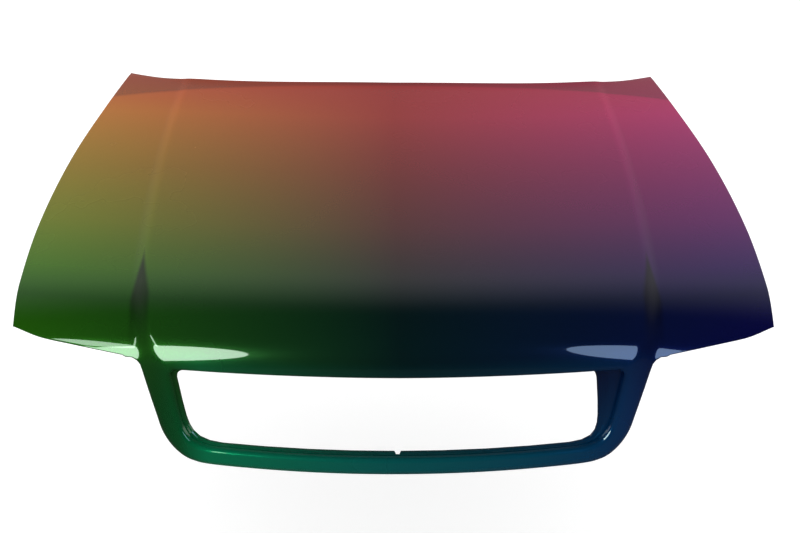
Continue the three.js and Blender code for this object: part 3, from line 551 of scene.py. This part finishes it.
# Noise on the object's own coordinates; grain is the size of one patch in mm
def grainNoise(tree, place, grain, detail=2.0):
    return addNode(tree, "ShaderNodeTexNoise", {"noise_dimensions": "3D"}, {
        "Vector": (place, "Object"), "Scale": 1000 / (2 * grain), "Detail": detail})


# Two-pack effect paint, sprayed over the pressed steel and polished: metal flake under a clear coat. To the
# eye it is a deep gloss whose colour turns from warm to cold along the panel and from yellow-green to violet
# across it. Its base colour also carries painted light: painted shade that darkens it to nearly black towards
# the nose, where the bent nose mirrors the dark overhead, a painted dark wedge and a painted pale highlight
# line on each crease, a painted dark strip along the rear edge, and painted reflection of the floor that
# lightens the rail
effectPaint = {
    "rear": ["#e24100", "#b50800", "#d60052"],      # left, middle and right
    "nose": ["#4cc300", "#004141", "#000093"],
    # legs and rail, from left to right: share of the width and colour; the lighter teal along the rail is
    # partly painted reflection of the floor
    "front": [(0.2, "#004416"), (0.225, "#004f24"), (0.26, "#00774e"),
              (0.5, "#005858"), (0.74, "#00395c"), (0.81, "#00265a")],
    "frontFrom": (-0.950, -0.990),      # m, where they begin and where they are full
    "across": (-0.72, 0.72), "along": (-1.14, 0.02),    # m
    "bow": 0.3,                         # how far the fade's lines bow, 1/m
    # how the nose colours give way to the rear ones along the panel, and the painted shade along it: a
    # darkening towards the nose that is partly the fade's own and partly the dark that the bent nose mirrors
    "turn": [(0.172, 0), (0.239, 0), (0.305, 0.12), (0.421, 0.33), (0.586, 0.54), (0.793, 0.735),
             (1.0, 1.0)],
    "shade": [(0.172, 0.2), (0.239, 0.165), (0.305, 0.387), (0.421, 0.563), (0.586, 0.712),
              (0.793, 1.0), (1.0, 0.769)],
    # the crease runs at half-width 0.523 m less 0.08 y^2: a painted pale highlight line along it, and a
    # painted dark wedge of shade from the nose
    "crease": (0.523, 0.08), "creasePaintedHighlight": (1.14, 0.018),
    "wedgeFrom": (-0.645, -0.790), "wedgeHalf": 0.018, "wedgeSoft": 0.005,
    "paintedWedgeShade": [(0.0, 1.0), (0.2, 1.0), (0.3, 0.9), (0.46, 0.66), (0.68, 0.3), (0.9, 0.2), (1.0, 0.2)],
    "wedgeSpan": (-0.95, -0.70),
    # painted shade: the thin dark strip along the rear edge where its lip rises; the edge's arc, the strip's
    # fade and its shade
    "rearArc": (0.096, -0.012), "rearStrip": (0.030, 0.046), "rearPaintedShade": 0.62,
    "metallic": 0.38, "rough": 0.26, "sheen": 0.1, "edgeTint": 0.5,
    "coat": 0.6, "coatRough": 0.03, "coatIor": 1.9,
    "haze": 90, "hazeRough": 0.03, "hazeSpread": (0.15, 0.85),     # patches of polish, mm
    "flake": 1.2, "flakeDepth": 0.03,   # mm, drawn coarse: real flake is too fine to show
    "peel": 6.0, "peelDepth": 0.000004,     # orange peel in the clear coat, mm and m
}


def effectPaintMaterial():
    made, tree = newMaterial("effectPaintGloss")
    place = addNode(tree, "ShaderNodeTexCoord")
    split = addNode(tree, "ShaderNodeSeparateXYZ", inputs={"Vector": (place, "Object")})
    across = addNode(tree, "ShaderNodeMapRange", inputs={
        "Value": (split, "X"), **ends("From", effectPaint["across"])})
    rear, nose = (addNode(tree, "ShaderNodeValToRGB", inputs={"Fac": (across, 0)},
                          stops=list(zip((0, 0.5, 1), effectPaint[end]))) for end in ("rear", "nose"))

    # the fade's lines bow forwards at the middle as the nose does
    square = addNode(tree, "ShaderNodeMath", {"operation": "POWER"}, {0: (split, "X"), 1: 2.0})
    bowed = addNode(tree, "ShaderNodeMath", {"operation": "MULTIPLY_ADD"}, {
        0: (square, 0), 1: -effectPaint["bow"], 2: (split, "Y")})
    forward = addNode(tree, "ShaderNodeMapRange", inputs={
        "Value": (bowed, 0), **ends("From", effectPaint["along"])})
    turn = addNode(tree, "ShaderNodeValToRGB", inputs={"Fac": (forward, 0)}, stops=effectPaint["turn"])
    panel = addNode(tree, "ShaderNodeMix", mixing, {0: (turn, 0), 6: (nose, 0), 7: (rear, 0)})
    # painted shade: the panel's colour darkened towards the nose, partly the fade's own darkening and partly
    # the dark that the bent nose mirrors
    shade = addNode(tree, "ShaderNodeValToRGB", inputs={"Fac": (forward, 0)}, stops=effectPaint["shade"])
    panelWithPaintedShade = addNode(tree, "ShaderNodeMix", darkening, {0: 1.0, 6: (panel, 2), 7: (shade, 0)})
    # painted reflection in part: the rail's colours are lighter where it mirrors the floor
    front = addNode(tree, "ShaderNodeValToRGB", inputs={"Fac": (across, 0)}, stops=effectPaint["front"])
    onFront = addNode(tree, "ShaderNodeMapRange", smoothRange, {
        "Value": (bowed, 0), **ends("From", effectPaint["frontFrom"])})
    withPaintedShadeAndReflection = addNode(tree, "ShaderNodeMix", mixing, {0: (onFront, 0), 6: (panelWithPaintedShade, 2), 7: (front, 0)})

    # the painted shade strip along the rear edge: the edge is an arc, so the strip is measured from that arc
    arc = addNode(tree, "ShaderNodeMath", {"operation": "MULTIPLY_ADD"}, {
        0: (square, 0), 1: effectPaint["rearArc"][0], 2: effectPaint["rearArc"][1]})
    fromEdge = addNode(tree, "ShaderNodeMath", {"operation": "SUBTRACT"}, {0: (arc, 0), 1: (split, "Y")})
    strip = addNode(tree, "ShaderNodeMapRange", smoothRange, {
        "Value": (fromEdge, 0), **ends("From", effectPaint["rearStrip"]),
        "To Min": effectPaint["rearPaintedShade"], "To Max": 1.0})
    withRearPaintedShade = addNode(tree, "ShaderNodeMix", darkening, {0: 1.0, 6: (withPaintedShadeAndReflection, 2), 7: (strip, 0)})

    # distance from the crease, and the painted pale highlight line and the painted dark wedge of shade on it
    ySquare = addNode(tree, "ShaderNodeMath", {"operation": "MULTIPLY"}, {0: (split, "Y"), 1: (split, "Y")})
    side = addNode(tree, "ShaderNodeMath", {"operation": "ABSOLUTE"}, {0: (split, "X")})
    half, curve = effectPaint["crease"]
    bent = addNode(tree, "ShaderNodeMath", {"operation": "MULTIPLY_ADD"}, {
        0: (ySquare, 0), 1: curve, 2: -half})
    signed = addNode(tree, "ShaderNodeMath", {"operation": "ADD"}, {0: (side, 0), 1: (bent, 0)})
    off = addNode(tree, "ShaderNodeMath", {"operation": "ABSOLUTE"}, {0: (signed, 0)})
    # painted highlight: a pale line along the crease
    level, reach = effectPaint["creasePaintedHighlight"]
    pale = addNode(tree, "ShaderNodeMapRange", smoothRange, {
        "Value": (off, 0), **ends("From", (0.0, reach)), **ends("To", (level, 1.0))})
    # painted shade: a dark wedge along the crease near the nose
    soft = effectPaint["wedgeSoft"]
    wide = addNode(tree, "ShaderNodeMapRange", inputs={
        "Value": (split, "Y"), **ends("From", effectPaint["wedgeFrom"]),
        **ends("To", (-soft, effectPaint["wedgeHalf"]))})
    past = addNode(tree, "ShaderNodeMath", {"operation": "SUBTRACT"}, {0: (off, 0), 1: (wide, 0)})
    inWedge = addNode(tree, "ShaderNodeMapRange", smoothRange, {
        "Value": (past, 0), **ends("From", (-soft, soft)), **ends("To", (1.0, 0.0))})
    downWedge = addNode(tree, "ShaderNodeMapRange", inputs={
        "Value": (split, "Y"), **ends("From", effectPaint["wedgeSpan"])})
    paintedWedgeShade = addNode(tree, "ShaderNodeValToRGB", inputs={"Fac": (downWedge, 0)},
                         stops=effectPaint["paintedWedgeShade"])
    wedge = addNode(tree, "ShaderNodeMix", mixing, {0: (inWedge, 0), 6: (pale, 0), 7: (paintedWedgeShade, 0)})
    withPaintedCreaseLight = addNode(tree, "ShaderNodeMix", darkening, {0: 1.0, 6: (withRearPaintedShade, 2), 7: (wedge, 2)})

    flake = grainNoise(tree, place, effectPaint["flake"], 0.0)
    depth = effectPaint["flakeDepth"]
    flakeShade = addNode(tree, "ShaderNodeMapRange", inputs={
        "Value": (flake, 0), **ends("From", noiseSpread), **ends("To", (1 - depth, 1 + depth))})
    colour = addNode(tree, "ShaderNodeMix", darkening, {0: 1.0, 6: (withPaintedCreaseLight, 2), 7: (flakeShade, 0)})
    peel = grainNoise(tree, place, effectPaint["peel"], 0.0)
    bump = addNode(tree, "ShaderNodeBump", inputs={
        "Height": (peel, 0), "Distance": effectPaint["peelDepth"], "Strength": 1.0})
    haze = grainNoise(tree, place, effectPaint["haze"], 3.0)
    level, drift = effectPaint["rough"], effectPaint["hazeRough"]
    rough = addNode(tree, "ShaderNodeMapRange", smoothRange, {
        "Value": (haze, 0), **ends("From", effectPaint["hazeSpread"]),
        **ends("To", (level - drift, level + drift))})
    shader = addNode(tree, "ShaderNodeBsdfPrincipled", inputs={
        "Base Color": (colour, 2), "Roughness": (rough, 0), "Metallic": effectPaint["metallic"],
        "Specular IOR Level": effectPaint["sheen"], "Specular Tint": [effectPaint["edgeTint"]] * 3 + [1],
        "Coat Weight": effectPaint["coat"], "Coat Roughness": effectPaint["coatRough"],
        "Coat IOR": effectPaint["coatIor"], "Coat Normal": (bump, 0)})
    addNode(tree, "ShaderNodeOutputMaterial", inputs={"Surface": (shader, 0)})
    return made


# A finish whose colour and roughness drift over patches of a given size in mm
def patchyMaterial(name, dark, light, rough, metallic, patch, grain, grainDepth):
    made, tree = newMaterial(name)
    place = addNode(tree, "ShaderNodeTexCoord")
    patches = grainNoise(tree, place, patch, 4.0)
    share = addNode(tree, "ShaderNodeMapRange", inputs={
        "Value": (patches, 0), **ends("From", noiseSpread)})
    colour = addNode(tree, "ShaderNodeMix", mixing, {
        0: (share, 0), 6: linearColour(dark), 7: linearColour(light)})
    roughness = addNode(tree, "ShaderNodeMapRange", inputs={
        "Value": (share, 0), **ends("To", (rough - roughDrift, rough + roughDrift))})
    fine = grainNoise(tree, place, grain)
    bump = addNode(tree, "ShaderNodeBump", inputs={
        "Height": (fine, 0), "Distance": grainDepth, "Strength": 1.0})
    shader = addNode(tree, "ShaderNodeBsdfPrincipled", inputs={
        "Base Color": (colour, 2), "Roughness": (roughness, 0), "Metallic": metallic, "Normal": (bump, 0)})
    addNode(tree, "ShaderNodeOutputMaterial", inputs={"Surface": (shader, 0)})
    return made


roughDrift = 0.06
# hex of the darker and the lighter patches, roughness, metallic, patch and grain in mm, grain depth in m
finishes = {
    # dip-coated primer on the inner pressings: an even dark satin, slightly cloudy where it ran off
    "dipPrimer": ("#1d2226", "#262c31", 0.44, 0.0, 60, 1.5, 0.00003),
    # zinc-plated steel, barrel-plated: a soft grey shine with faint cloudy patches
    "zincPlated": ("#7d8184", "#a4a8aa", 0.38, 1.0, 8, 0.8, 0.00002),
    # anti-flutter mastic, pumped in warm and cured: dull rubbery dark grey with a skin
    "flutterMastic": ("#211f1d", "#35322e", 0.82, 0.0, 6, 1.2, 0.0001),
}
finishMaterials = {name: patchyMaterial(name, *values) for name, values in finishes.items()}

paint = effectPaintMaterial()
outerSkin.data.materials.append(paint)
outerSkin.data.materials.append(finishMaterials["dipPrimer"])
for name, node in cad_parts.items():
    if name == "outer_skin":
        continue
    chosen = finishMaterials["dipPrimer"]
    if name == "grille_surround":
        chosen = paint
    elif name.startswith("mastic"):
        chosen = finishMaterials["flutterMastic"]
    elif "nut" in name:
        chosen = finishMaterials["zincPlated"]
    node.data.materials.clear()
    node.data.materials.append(chosen)
print("finishes:", ", ".join(["effectPaintGloss", *finishMaterials]))


# A geometry tree with named inputs for the sizes; returns it with its group input and output nodes
def newGeometryTree(name, sizes):
    tree = bpy.data.node_groups.new(name, "GeometryNodeTree")
    tree.interface.new_socket("Geometry", in_out="INPUT", socket_type="NodeSocketGeometry")
    for label, value in sizes.items():
        socket = tree.interface.new_socket(label, in_out="INPUT", socket_type="NodeSocketFloat")
        socket.default_value = value
    tree.interface.new_socket("Geometry", in_out="OUTPUT", socket_type="NodeSocketGeometry")
    return tree, tree.nodes.new("NodeGroupInput"), tree.nodes.new("NodeGroupOutput")


# Points with a rotation and a scale each go through a tree and come back as one plain mesh
def instancedPiece(name, points, turns, scales, tree, sizes, replaced):
    mesh = bpy.data.meshes.new(name + "Points")
    mesh.from_pydata([tuple(p) for p in points], [], [])
    for label, values in (("turn", turns), ("reach", scales)):
        mesh.attributes.new(label, "FLOAT_VECTOR", "POINT").data.foreach_set("vector", np.ravel(values))
    carrier = bpy.data.objects.new(name + "Points", mesh)
    bpy.context.scene.collection.objects.link(carrier)
    modifier = carrier.modifiers.new(name, "NODES")
    modifier.node_group = tree
    identifiers = {item.name: item.identifier for item in tree.interface.items_tree if item.in_out == "INPUT"}
    for label, value in sizes.items():
        modifier[identifiers[label]] = value
    evaluated = carrier.evaluated_get(bpy.context.evaluated_depsgraph_get())
    plain = bpy.data.meshes.new_from_object(evaluated)
    bpy.data.objects.remove(carrier)
    piece = bpy.data.objects.new(name, plain)
    bpy.context.scene.collection.objects.link(piece)
    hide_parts(*replaced)
    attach(piece, "root")
    print(name + ":", len(plain.polygons), "faces from", len(points), "points")


def nodeNames(part):
    return sorted(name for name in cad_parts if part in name)


def nodePoints(name):
    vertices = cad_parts[name].data.vertices
    return np.array([vertex.co for vertex in vertices])


# Weld nuts on the plates: hexagons with a bore and a rounded upper edge, flats to the sides
weldNut = {"Across Flats": 0.013, "Height": 0.0065, "Bore": 0.007, "Edge": 0.0006, "Top Scale": 0.96,
           "Merge": 0.00002}


def weldNutTree():
    tree, start, end = newGeometryTree("weldNutTree", weldNut)
    corner = addNode(tree, "ShaderNodeMath", {"operation": "MULTIPLY"}, {
        0: (start, "Across Flats"), 1: 0.5 / math.cos(math.pi / 6)})
    boreRadius = addNode(tree, "ShaderNodeMath", {"operation": "MULTIPLY"}, {0: (start, "Bore"), 1: 0.5})
    hexagon = addNode(tree, "GeometryNodeCurvePrimitiveCircle", inputs={
        "Resolution": 6, "Radius": (corner, 0)})
    turned = addNode(tree, "GeometryNodeTransform", inputs={
        "Geometry": (hexagon, 0), "Rotation": (0.0, 0.0, math.pi / 6)})
    bore = addNode(tree, "GeometryNodeCurvePrimitiveCircle", inputs={
        "Resolution": 32, "Radius": (boreRadius, 0)})
    outline = addNode(tree, "GeometryNodeJoinGeometry")
    for part in (bore, turned):
        tree.links.new(part.outputs[0], outline.inputs[0])
    ring = addNode(tree, "GeometryNodeFillCurve", inputs={"Curve": (outline, 0)})

    # the body stops below the top, and a smaller ring above it makes the rounded edge
    bodyHeight = addNode(tree, "ShaderNodeMath", {"operation": "SUBTRACT"}, {
        0: (start, "Height"), 1: (start, "Edge")})
    body = addNode(tree, "GeometryNodeExtrudeMesh", {"mode": "FACES"}, {
        "Mesh": (ring, 0), "Offset Scale": (bodyHeight, 0), "Individual": False})
    crown = addNode(tree, "GeometryNodeExtrudeMesh", {"mode": "FACES"}, {
        "Mesh": (body, "Mesh"), "Selection": (body, "Top"), "Offset Scale": (start, "Edge"),
        "Individual": False})
    shrunk = addNode(tree, "GeometryNodeScaleElements", {"domain": "FACE"}, {
        "Geometry": (crown, "Mesh"), "Selection": (crown, "Top"), "Scale": (start, "Top Scale")})
    floor = addNode(tree, "GeometryNodeFlipFaces", inputs={"Mesh": (ring, 0)})
    closed = addNode(tree, "GeometryNodeJoinGeometry")
    for part in (shrunk, floor):
        tree.links.new(part.outputs[0], closed.inputs[0])
    welded = addNode(tree, "GeometryNodeMergeByDistance", inputs={
        "Geometry": (closed, 0), "Distance": (start, "Merge")})
    placed = addNode(tree, "GeometryNodeInstanceOnPoints", inputs={
        "Points": (start, 0), "Instance": (welded, 0)})
    real = addNode(tree, "GeometryNodeRealizeInstances", inputs={"Geometry": (placed, 0)})
    dressed = addNode(tree, "GeometryNodeSetMaterial", inputs={
        "Geometry": (real, 0), "Material": finishMaterials["zincPlated"]})
    tree.links.new(dressed.outputs[0], end.inputs[0])
    return tree


nutNames = nodeNames("_nut_")
nutBoxes = [(nodePoints(name).min(0), nodePoints(name).max(0)) for name in nutNames]
nutPlaces = [((low[0] + high[0]) / 2, (low[1] + high[1]) / 2, low[2]) for low, high in nutBoxes]
instancedPiece("weldNuts", nutPlaces, np.zeros((len(nutNames), 3)), np.ones((len(nutNames), 3)),
               weldNutTree(), weldNut, nutNames)

# Mastic dabs: beads squeezed flat between the skin and the beams, with an uneven edge
masticDab = {"Flatness": 1.7, "Ripple": 0.0004, "Ripple Size": 0.006}
dabShares = (0.96, 0.9, 1.0)  # of the CAD dab's half sizes, so that the ripple stays inside them


def masticDabTree():
    tree, start, end = newGeometryTree("masticDabTree", masticDab)
    ball = addNode(tree, "GeometryNodeMeshUVSphere", inputs={"Segments": 48, "Rings": 16, "Radius": 1.0})
    place = addNode(tree, "GeometryNodeInputPosition")
    split = addNode(tree, "ShaderNodeSeparateXYZ", inputs={0: (place, 0)})
    tall = addNode(tree, "ShaderNodeMath", {"operation": "MULTIPLY"}, {0: (split, 2), 1: (start, "Flatness")})
    cut = addNode(tree, "ShaderNodeClamp", inputs={"Value": (tall, 0), "Min": -1.0, "Max": 1.0})
    joined = addNode(tree, "ShaderNodeCombineXYZ", inputs={0: (split, 0), 1: (split, 1), 2: (cut, 0)})
    squeezed = addNode(tree, "GeometryNodeSetPosition", inputs={
        "Geometry": (ball, 0), "Position": (joined, 0)})
    turn, reach = (addNode(tree, "GeometryNodeInputNamedAttribute", {"data_type": "FLOAT_VECTOR"}, {
        "Name": label}) for label in ("turn", "reach"))
    placed = addNode(tree, "GeometryNodeInstanceOnPoints", inputs={
        "Points": (start, 0), "Instance": (squeezed, 0), "Rotation": (turn, 0), "Scale": (reach, 0)})
    real = addNode(tree, "GeometryNodeRealizeInstances", inputs={"Geometry": (placed, 0)})
    fine = addNode(tree, "ShaderNodeMath", {"operation": "DIVIDE"}, {0: 1.0, 1: (start, "Ripple Size")})
    noise = addNode(tree, "ShaderNodeTexNoise", inputs={"Scale": (fine, 0), "Detail": 1.0})
    centred = addNode(tree, "ShaderNodeVectorMath", {"operation": "SUBTRACT"}, {
        0: (noise, "Color"), 1: (0.5, 0.5, 0.5)})
    flatOnly = addNode(tree, "ShaderNodeVectorMath", {"operation": "MULTIPLY"}, {
        0: (centred, 0), 1: (2.0, 2.0, 0.0)})
    ripple = addNode(tree, "ShaderNodeVectorMath", {"operation": "SCALE"}, {
        0: (flatOnly, 0), "Scale": (start, "Ripple")})
    moved = addNode(tree, "GeometryNodeSetPosition", inputs={"Geometry": (real, 0), "Offset": (ripple, 0)})
    smooth = addNode(tree, "GeometryNodeSetShadeSmooth", inputs={"Geometry": (moved, 0)})
    dressed = addNode(tree, "GeometryNodeSetMaterial", inputs={
        "Geometry": (smooth, 0), "Material": finishMaterials["flutterMastic"]})
    tree.links.new(dressed.outputs[0], end.inputs[0])
    return tree


# Each dab takes its place, its tilt and its half sizes from the CAD dab that it stands for
dabNames = nodeNames("mastic_dab")
dabPlaces, dabTurns, dabReaches = [], [], []
for name in dabNames:
    cloud = np.unique(nodePoints(name).round(6), axis=0)
    middle = (cloud.min(0) + cloud.max(0)) / 2
    axes = np.linalg.svd(cloud - cloud.mean(0), full_matrices=False)[2]
    axes[2] *= 1 if axes[2, 2] > 0 else -1
    axes[0] *= 1 if axes[0, 0] > 0 else -1
    axes[1] = np.cross(axes[2], axes[0])
    spread = (cloud - middle) @ axes.T
    dabPlaces.append(middle + axes.T @ ((spread.min(0) + spread.max(0)) / 2))
    dabTurns.append(Matrix(axes.T.tolist()).to_euler("XYZ")[:])
    dabReaches.append((spread.max(0) - spread.min(0)) / 2 * dabShares)
instancedPiece("masticDabs", dabPlaces, dabTurns, dabReaches, masticDabTree(), masticDab, dabNames)


# Camera as in the photograph, m, degrees and mm
camera = {"place": (-0.0349, -2.1908, 0.8928), "pitch": 32.448, "yaw": 1.565, "roll": 0.971,
          "lens": 41.39, "sensor": 36, "farthest": 60}


# Turns an object so that its own axes lie along the given right, up and back directions
def setAxes(item, place, right, up, back):
    basis = Matrix([list(row) for row in np.stack([right, up, back], axis=1)])
    item.matrix_world = Matrix.Translation(place) @ basis.to_4x4()
    bpy.context.scene.collection.objects.link(item)


def placeCamera():
    pitch, yaw, roll = (math.radians(camera[k]) for k in ("pitch", "yaw", "roll"))
    forward = np.array([math.sin(yaw) * math.cos(pitch), math.cos(yaw) * math.cos(pitch), -math.sin(pitch)])
    right = np.array([math.cos(yaw), -math.sin(yaw), 0])
    up = np.cross(right, forward)
    data = bpy.data.cameras.new("camera")
    data.lens, data.sensor_width, data.clip_end = camera["lens"], camera["sensor"], camera["farthest"]
    item = bpy.data.objects.new("camera", data)
    setAxes(item, camera["place"], right * math.cos(roll) + up * math.sin(roll),
            up * math.cos(roll) - right * math.sin(roll), -forward)
    bpy.context.scene.camera = item


placeCamera()

# An even studio: white all round to the eye, a pale floor well below, a soft lamp above that shapes the
# panel, and three soft lamps at the front that are there only for their mirror images on the nose
studio = {
    "white": (1, 1, 1, 1), "world": 1.0, "eye": 1.0,    # and its levels for the object and the camera
    "floorDrop": 0.95, "floorReach": 20, "floorColour": "#fafafa", "floorLift": 0.3,
    # the gloss sees a dark floor in front of the first y and a white one past the second
    "floorMirrored": (-0.4, 1.6), "floorLevels": (0.05, 0.95),
    # what else it mirrors: the white sweep low behind, a dimmer wall above that, the dark overhead and
    # in front; heights and directions are parts of a unit vector
    "sweepHeight": (0.12, 0.28), "sweepBehind": (0.0, 0.3),
    "wall": 0.4, "dark": 0.02, "darkFrom": (0.25, 0.62),
    "lampsAim": (0, -0.75, 0),
    # azimuth from the front and elevation in degrees, distance and size in m, level as radiance
    "lamps": [
        {"name": "topLamp", "towards": (-20, 68), "far": 3.2, "size": (2.4, 2.4), "level": 1.0,
         "tint": "#ffffff", "only": "diffuse"},
        {"name": "leftLamp", "towards": (-49, 23), "far": 3.0, "size": (1.9, 1.7), "level": 10.0,
         "tint": "#e2fbe8", "only": "glossy"},
        {"name": "leftWingLamp", "towards": (-75, 37), "far": 8.0, "size": (4.2, 1.0), "level": 7.0,
         "tint": "#e2fbe8", "only": "glossy"},
        {"name": "rightLamp", "towards": (51, 24), "far": 3.0, "size": (1.1, 1.9), "level": 4.0,
         "tint": "#b4d6ff", "only": "glossy"},
    ],
}


def buildWorld():
    world = bpy.data.worlds.new("studioWorld")
    world.use_nodes = True
    tree = world.node_tree
    tree.nodes.clear()
    path = addNode(tree, "ShaderNodeLightPath")
    place = addNode(tree, "ShaderNodeTexCoord")
    split = addNode(tree, "ShaderNodeSeparateXYZ", inputs={"Vector": (place, "Generated")})
    wall = addNode(tree, "ShaderNodeMapRange", smoothRange, {
        "Value": (split, "Y"), **ends("From", studio["darkFrom"]),
        **ends("To", (studio["dark"], studio["wall"]))})
    low = addNode(tree, "ShaderNodeMapRange", smoothRange, {
        "Value": (split, "Z"), **ends("From", studio["sweepHeight"]), **ends("To", (1.0, 0.0))})
    behind = addNode(tree, "ShaderNodeMapRange", smoothRange, {
        "Value": (split, "Y"), **ends("From", studio["sweepBehind"])})
    sweep = addNode(tree, "ShaderNodeMath", {"operation": "MULTIPLY"}, {0: (low, 0), 1: (behind, 0)})
    mirrored = addNode(tree, "ShaderNodeMath", {"operation": "MAXIMUM"}, {0: (wall, 0), 1: (sweep, 0)})
    strengths = (studio["world"], (mirrored, 0), studio["eye"])
    shown, gloss, eye = (addNode(tree, "ShaderNodeBackground", inputs={
        "Color": studio["white"], "Strength": strength}) for strength in strengths)
    for ray, seen in (("Is Glossy Ray", gloss), ("Is Transmission Ray", eye), ("Is Camera Ray", eye)):
        shown = addNode(tree, "ShaderNodeMixShader", inputs={0: (path, ray), 1: (shown, 0), 2: (seen, 0)})
    addNode(tree, "ShaderNodeOutputWorld", inputs={"Surface": (shown, 0)})
    bpy.context.scene.world = world


def buildFloor():
    z, reach = -studio["floorDrop"], studio["floorReach"]
    corners = [(-reach, -reach, z), (reach, -reach, z), (reach, reach, z), (-reach, reach, z)]
    mesh = bpy.data.meshes.new("floor")
    mesh.from_pydata(corners, [], [(0, 1, 2, 3)])
    floor = bpy.data.objects.new("floor", mesh)
    bpy.context.scene.collection.objects.link(floor)
    paper, tree = newMaterial("mattPaper")
    path = addNode(tree, "ShaderNodeLightPath")
    matt = addNode(tree, "ShaderNodeBsdfDiffuse", inputs={"Color": linearColour(studio["floorColour"])})
    lift = addNode(tree, "ShaderNodeEmission", inputs={"Strength": studio["floorLift"]})
    both = addNode(tree, "ShaderNodeAddShader", inputs={0: (matt, 0), 1: (lift, 0)})
    shown = addNode(tree, "ShaderNodeMixShader", inputs={
        0: (path, "Is Camera Ray"), 1: (matt, 0), 2: (both, 0)})
    place = addNode(tree, "ShaderNodeTexCoord")
    split = addNode(tree, "ShaderNodeSeparateXYZ", inputs={"Vector": (place, "Object")})
    level = addNode(tree, "ShaderNodeMapRange", smoothRange, {
        "Value": (split, "Y"), **ends("From", studio["floorMirrored"]), **ends("To", studio["floorLevels"])})
    gloss = addNode(tree, "ShaderNodeEmission", inputs={"Strength": (level, 0)})
    above = addNode(tree, "ShaderNodeMixShader", inputs={
        0: (path, "Is Glossy Ray"), 1: (shown, 0), 2: (gloss, 0)})
    under = addNode(tree, "ShaderNodeNewGeometry")
    clear = addNode(tree, "ShaderNodeBsdfTransparent")  # a view from below looks through the paper
    result = addNode(tree, "ShaderNodeMixShader", inputs={
        0: (under, "Backfacing"), 1: (above, 0), 2: (clear, 0)})
    addNode(tree, "ShaderNodeOutputMaterial", inputs={"Surface": (result, 0)})
    mesh.materials.append(paper)


def buildLamps():
    for lamp in studio["lamps"]:
        azimuth, elevation = (math.radians(angle) for angle in lamp["towards"])
        flat = math.cos(elevation)
        back = np.array([math.sin(azimuth) * flat, -math.cos(azimuth) * flat, math.sin(elevation)])
        right = unit(np.cross([0, 0, 1], back))
        data = bpy.data.lights.new(lamp["name"], "AREA")
        data.shape, data.size, data.size_y = "ELLIPSE", *lamp["size"]
        # watts from radiance: the ellipse's area times pi
        data.energy = lamp["level"] * lamp["size"][0] * lamp["size"][1] * math.pi ** 2 / 4
        data.color = linearColour(lamp["tint"])[:3]
        item = bpy.data.objects.new(lamp["name"], data)
        item.visible_diffuse = lamp["only"] == "diffuse"
        item.visible_glossy = lamp["only"] == "glossy"
        place = studio["lampsAim"] + back * lamp["far"]
        setAxes(item, place, right, np.cross(back, right), back)


buildWorld()
buildFloor()
buildLamps()
bpy.context.scene.view_settings.view_transform = "Standard"
print("studio: camera, floor and", len(studio["lamps"]), "lamps")
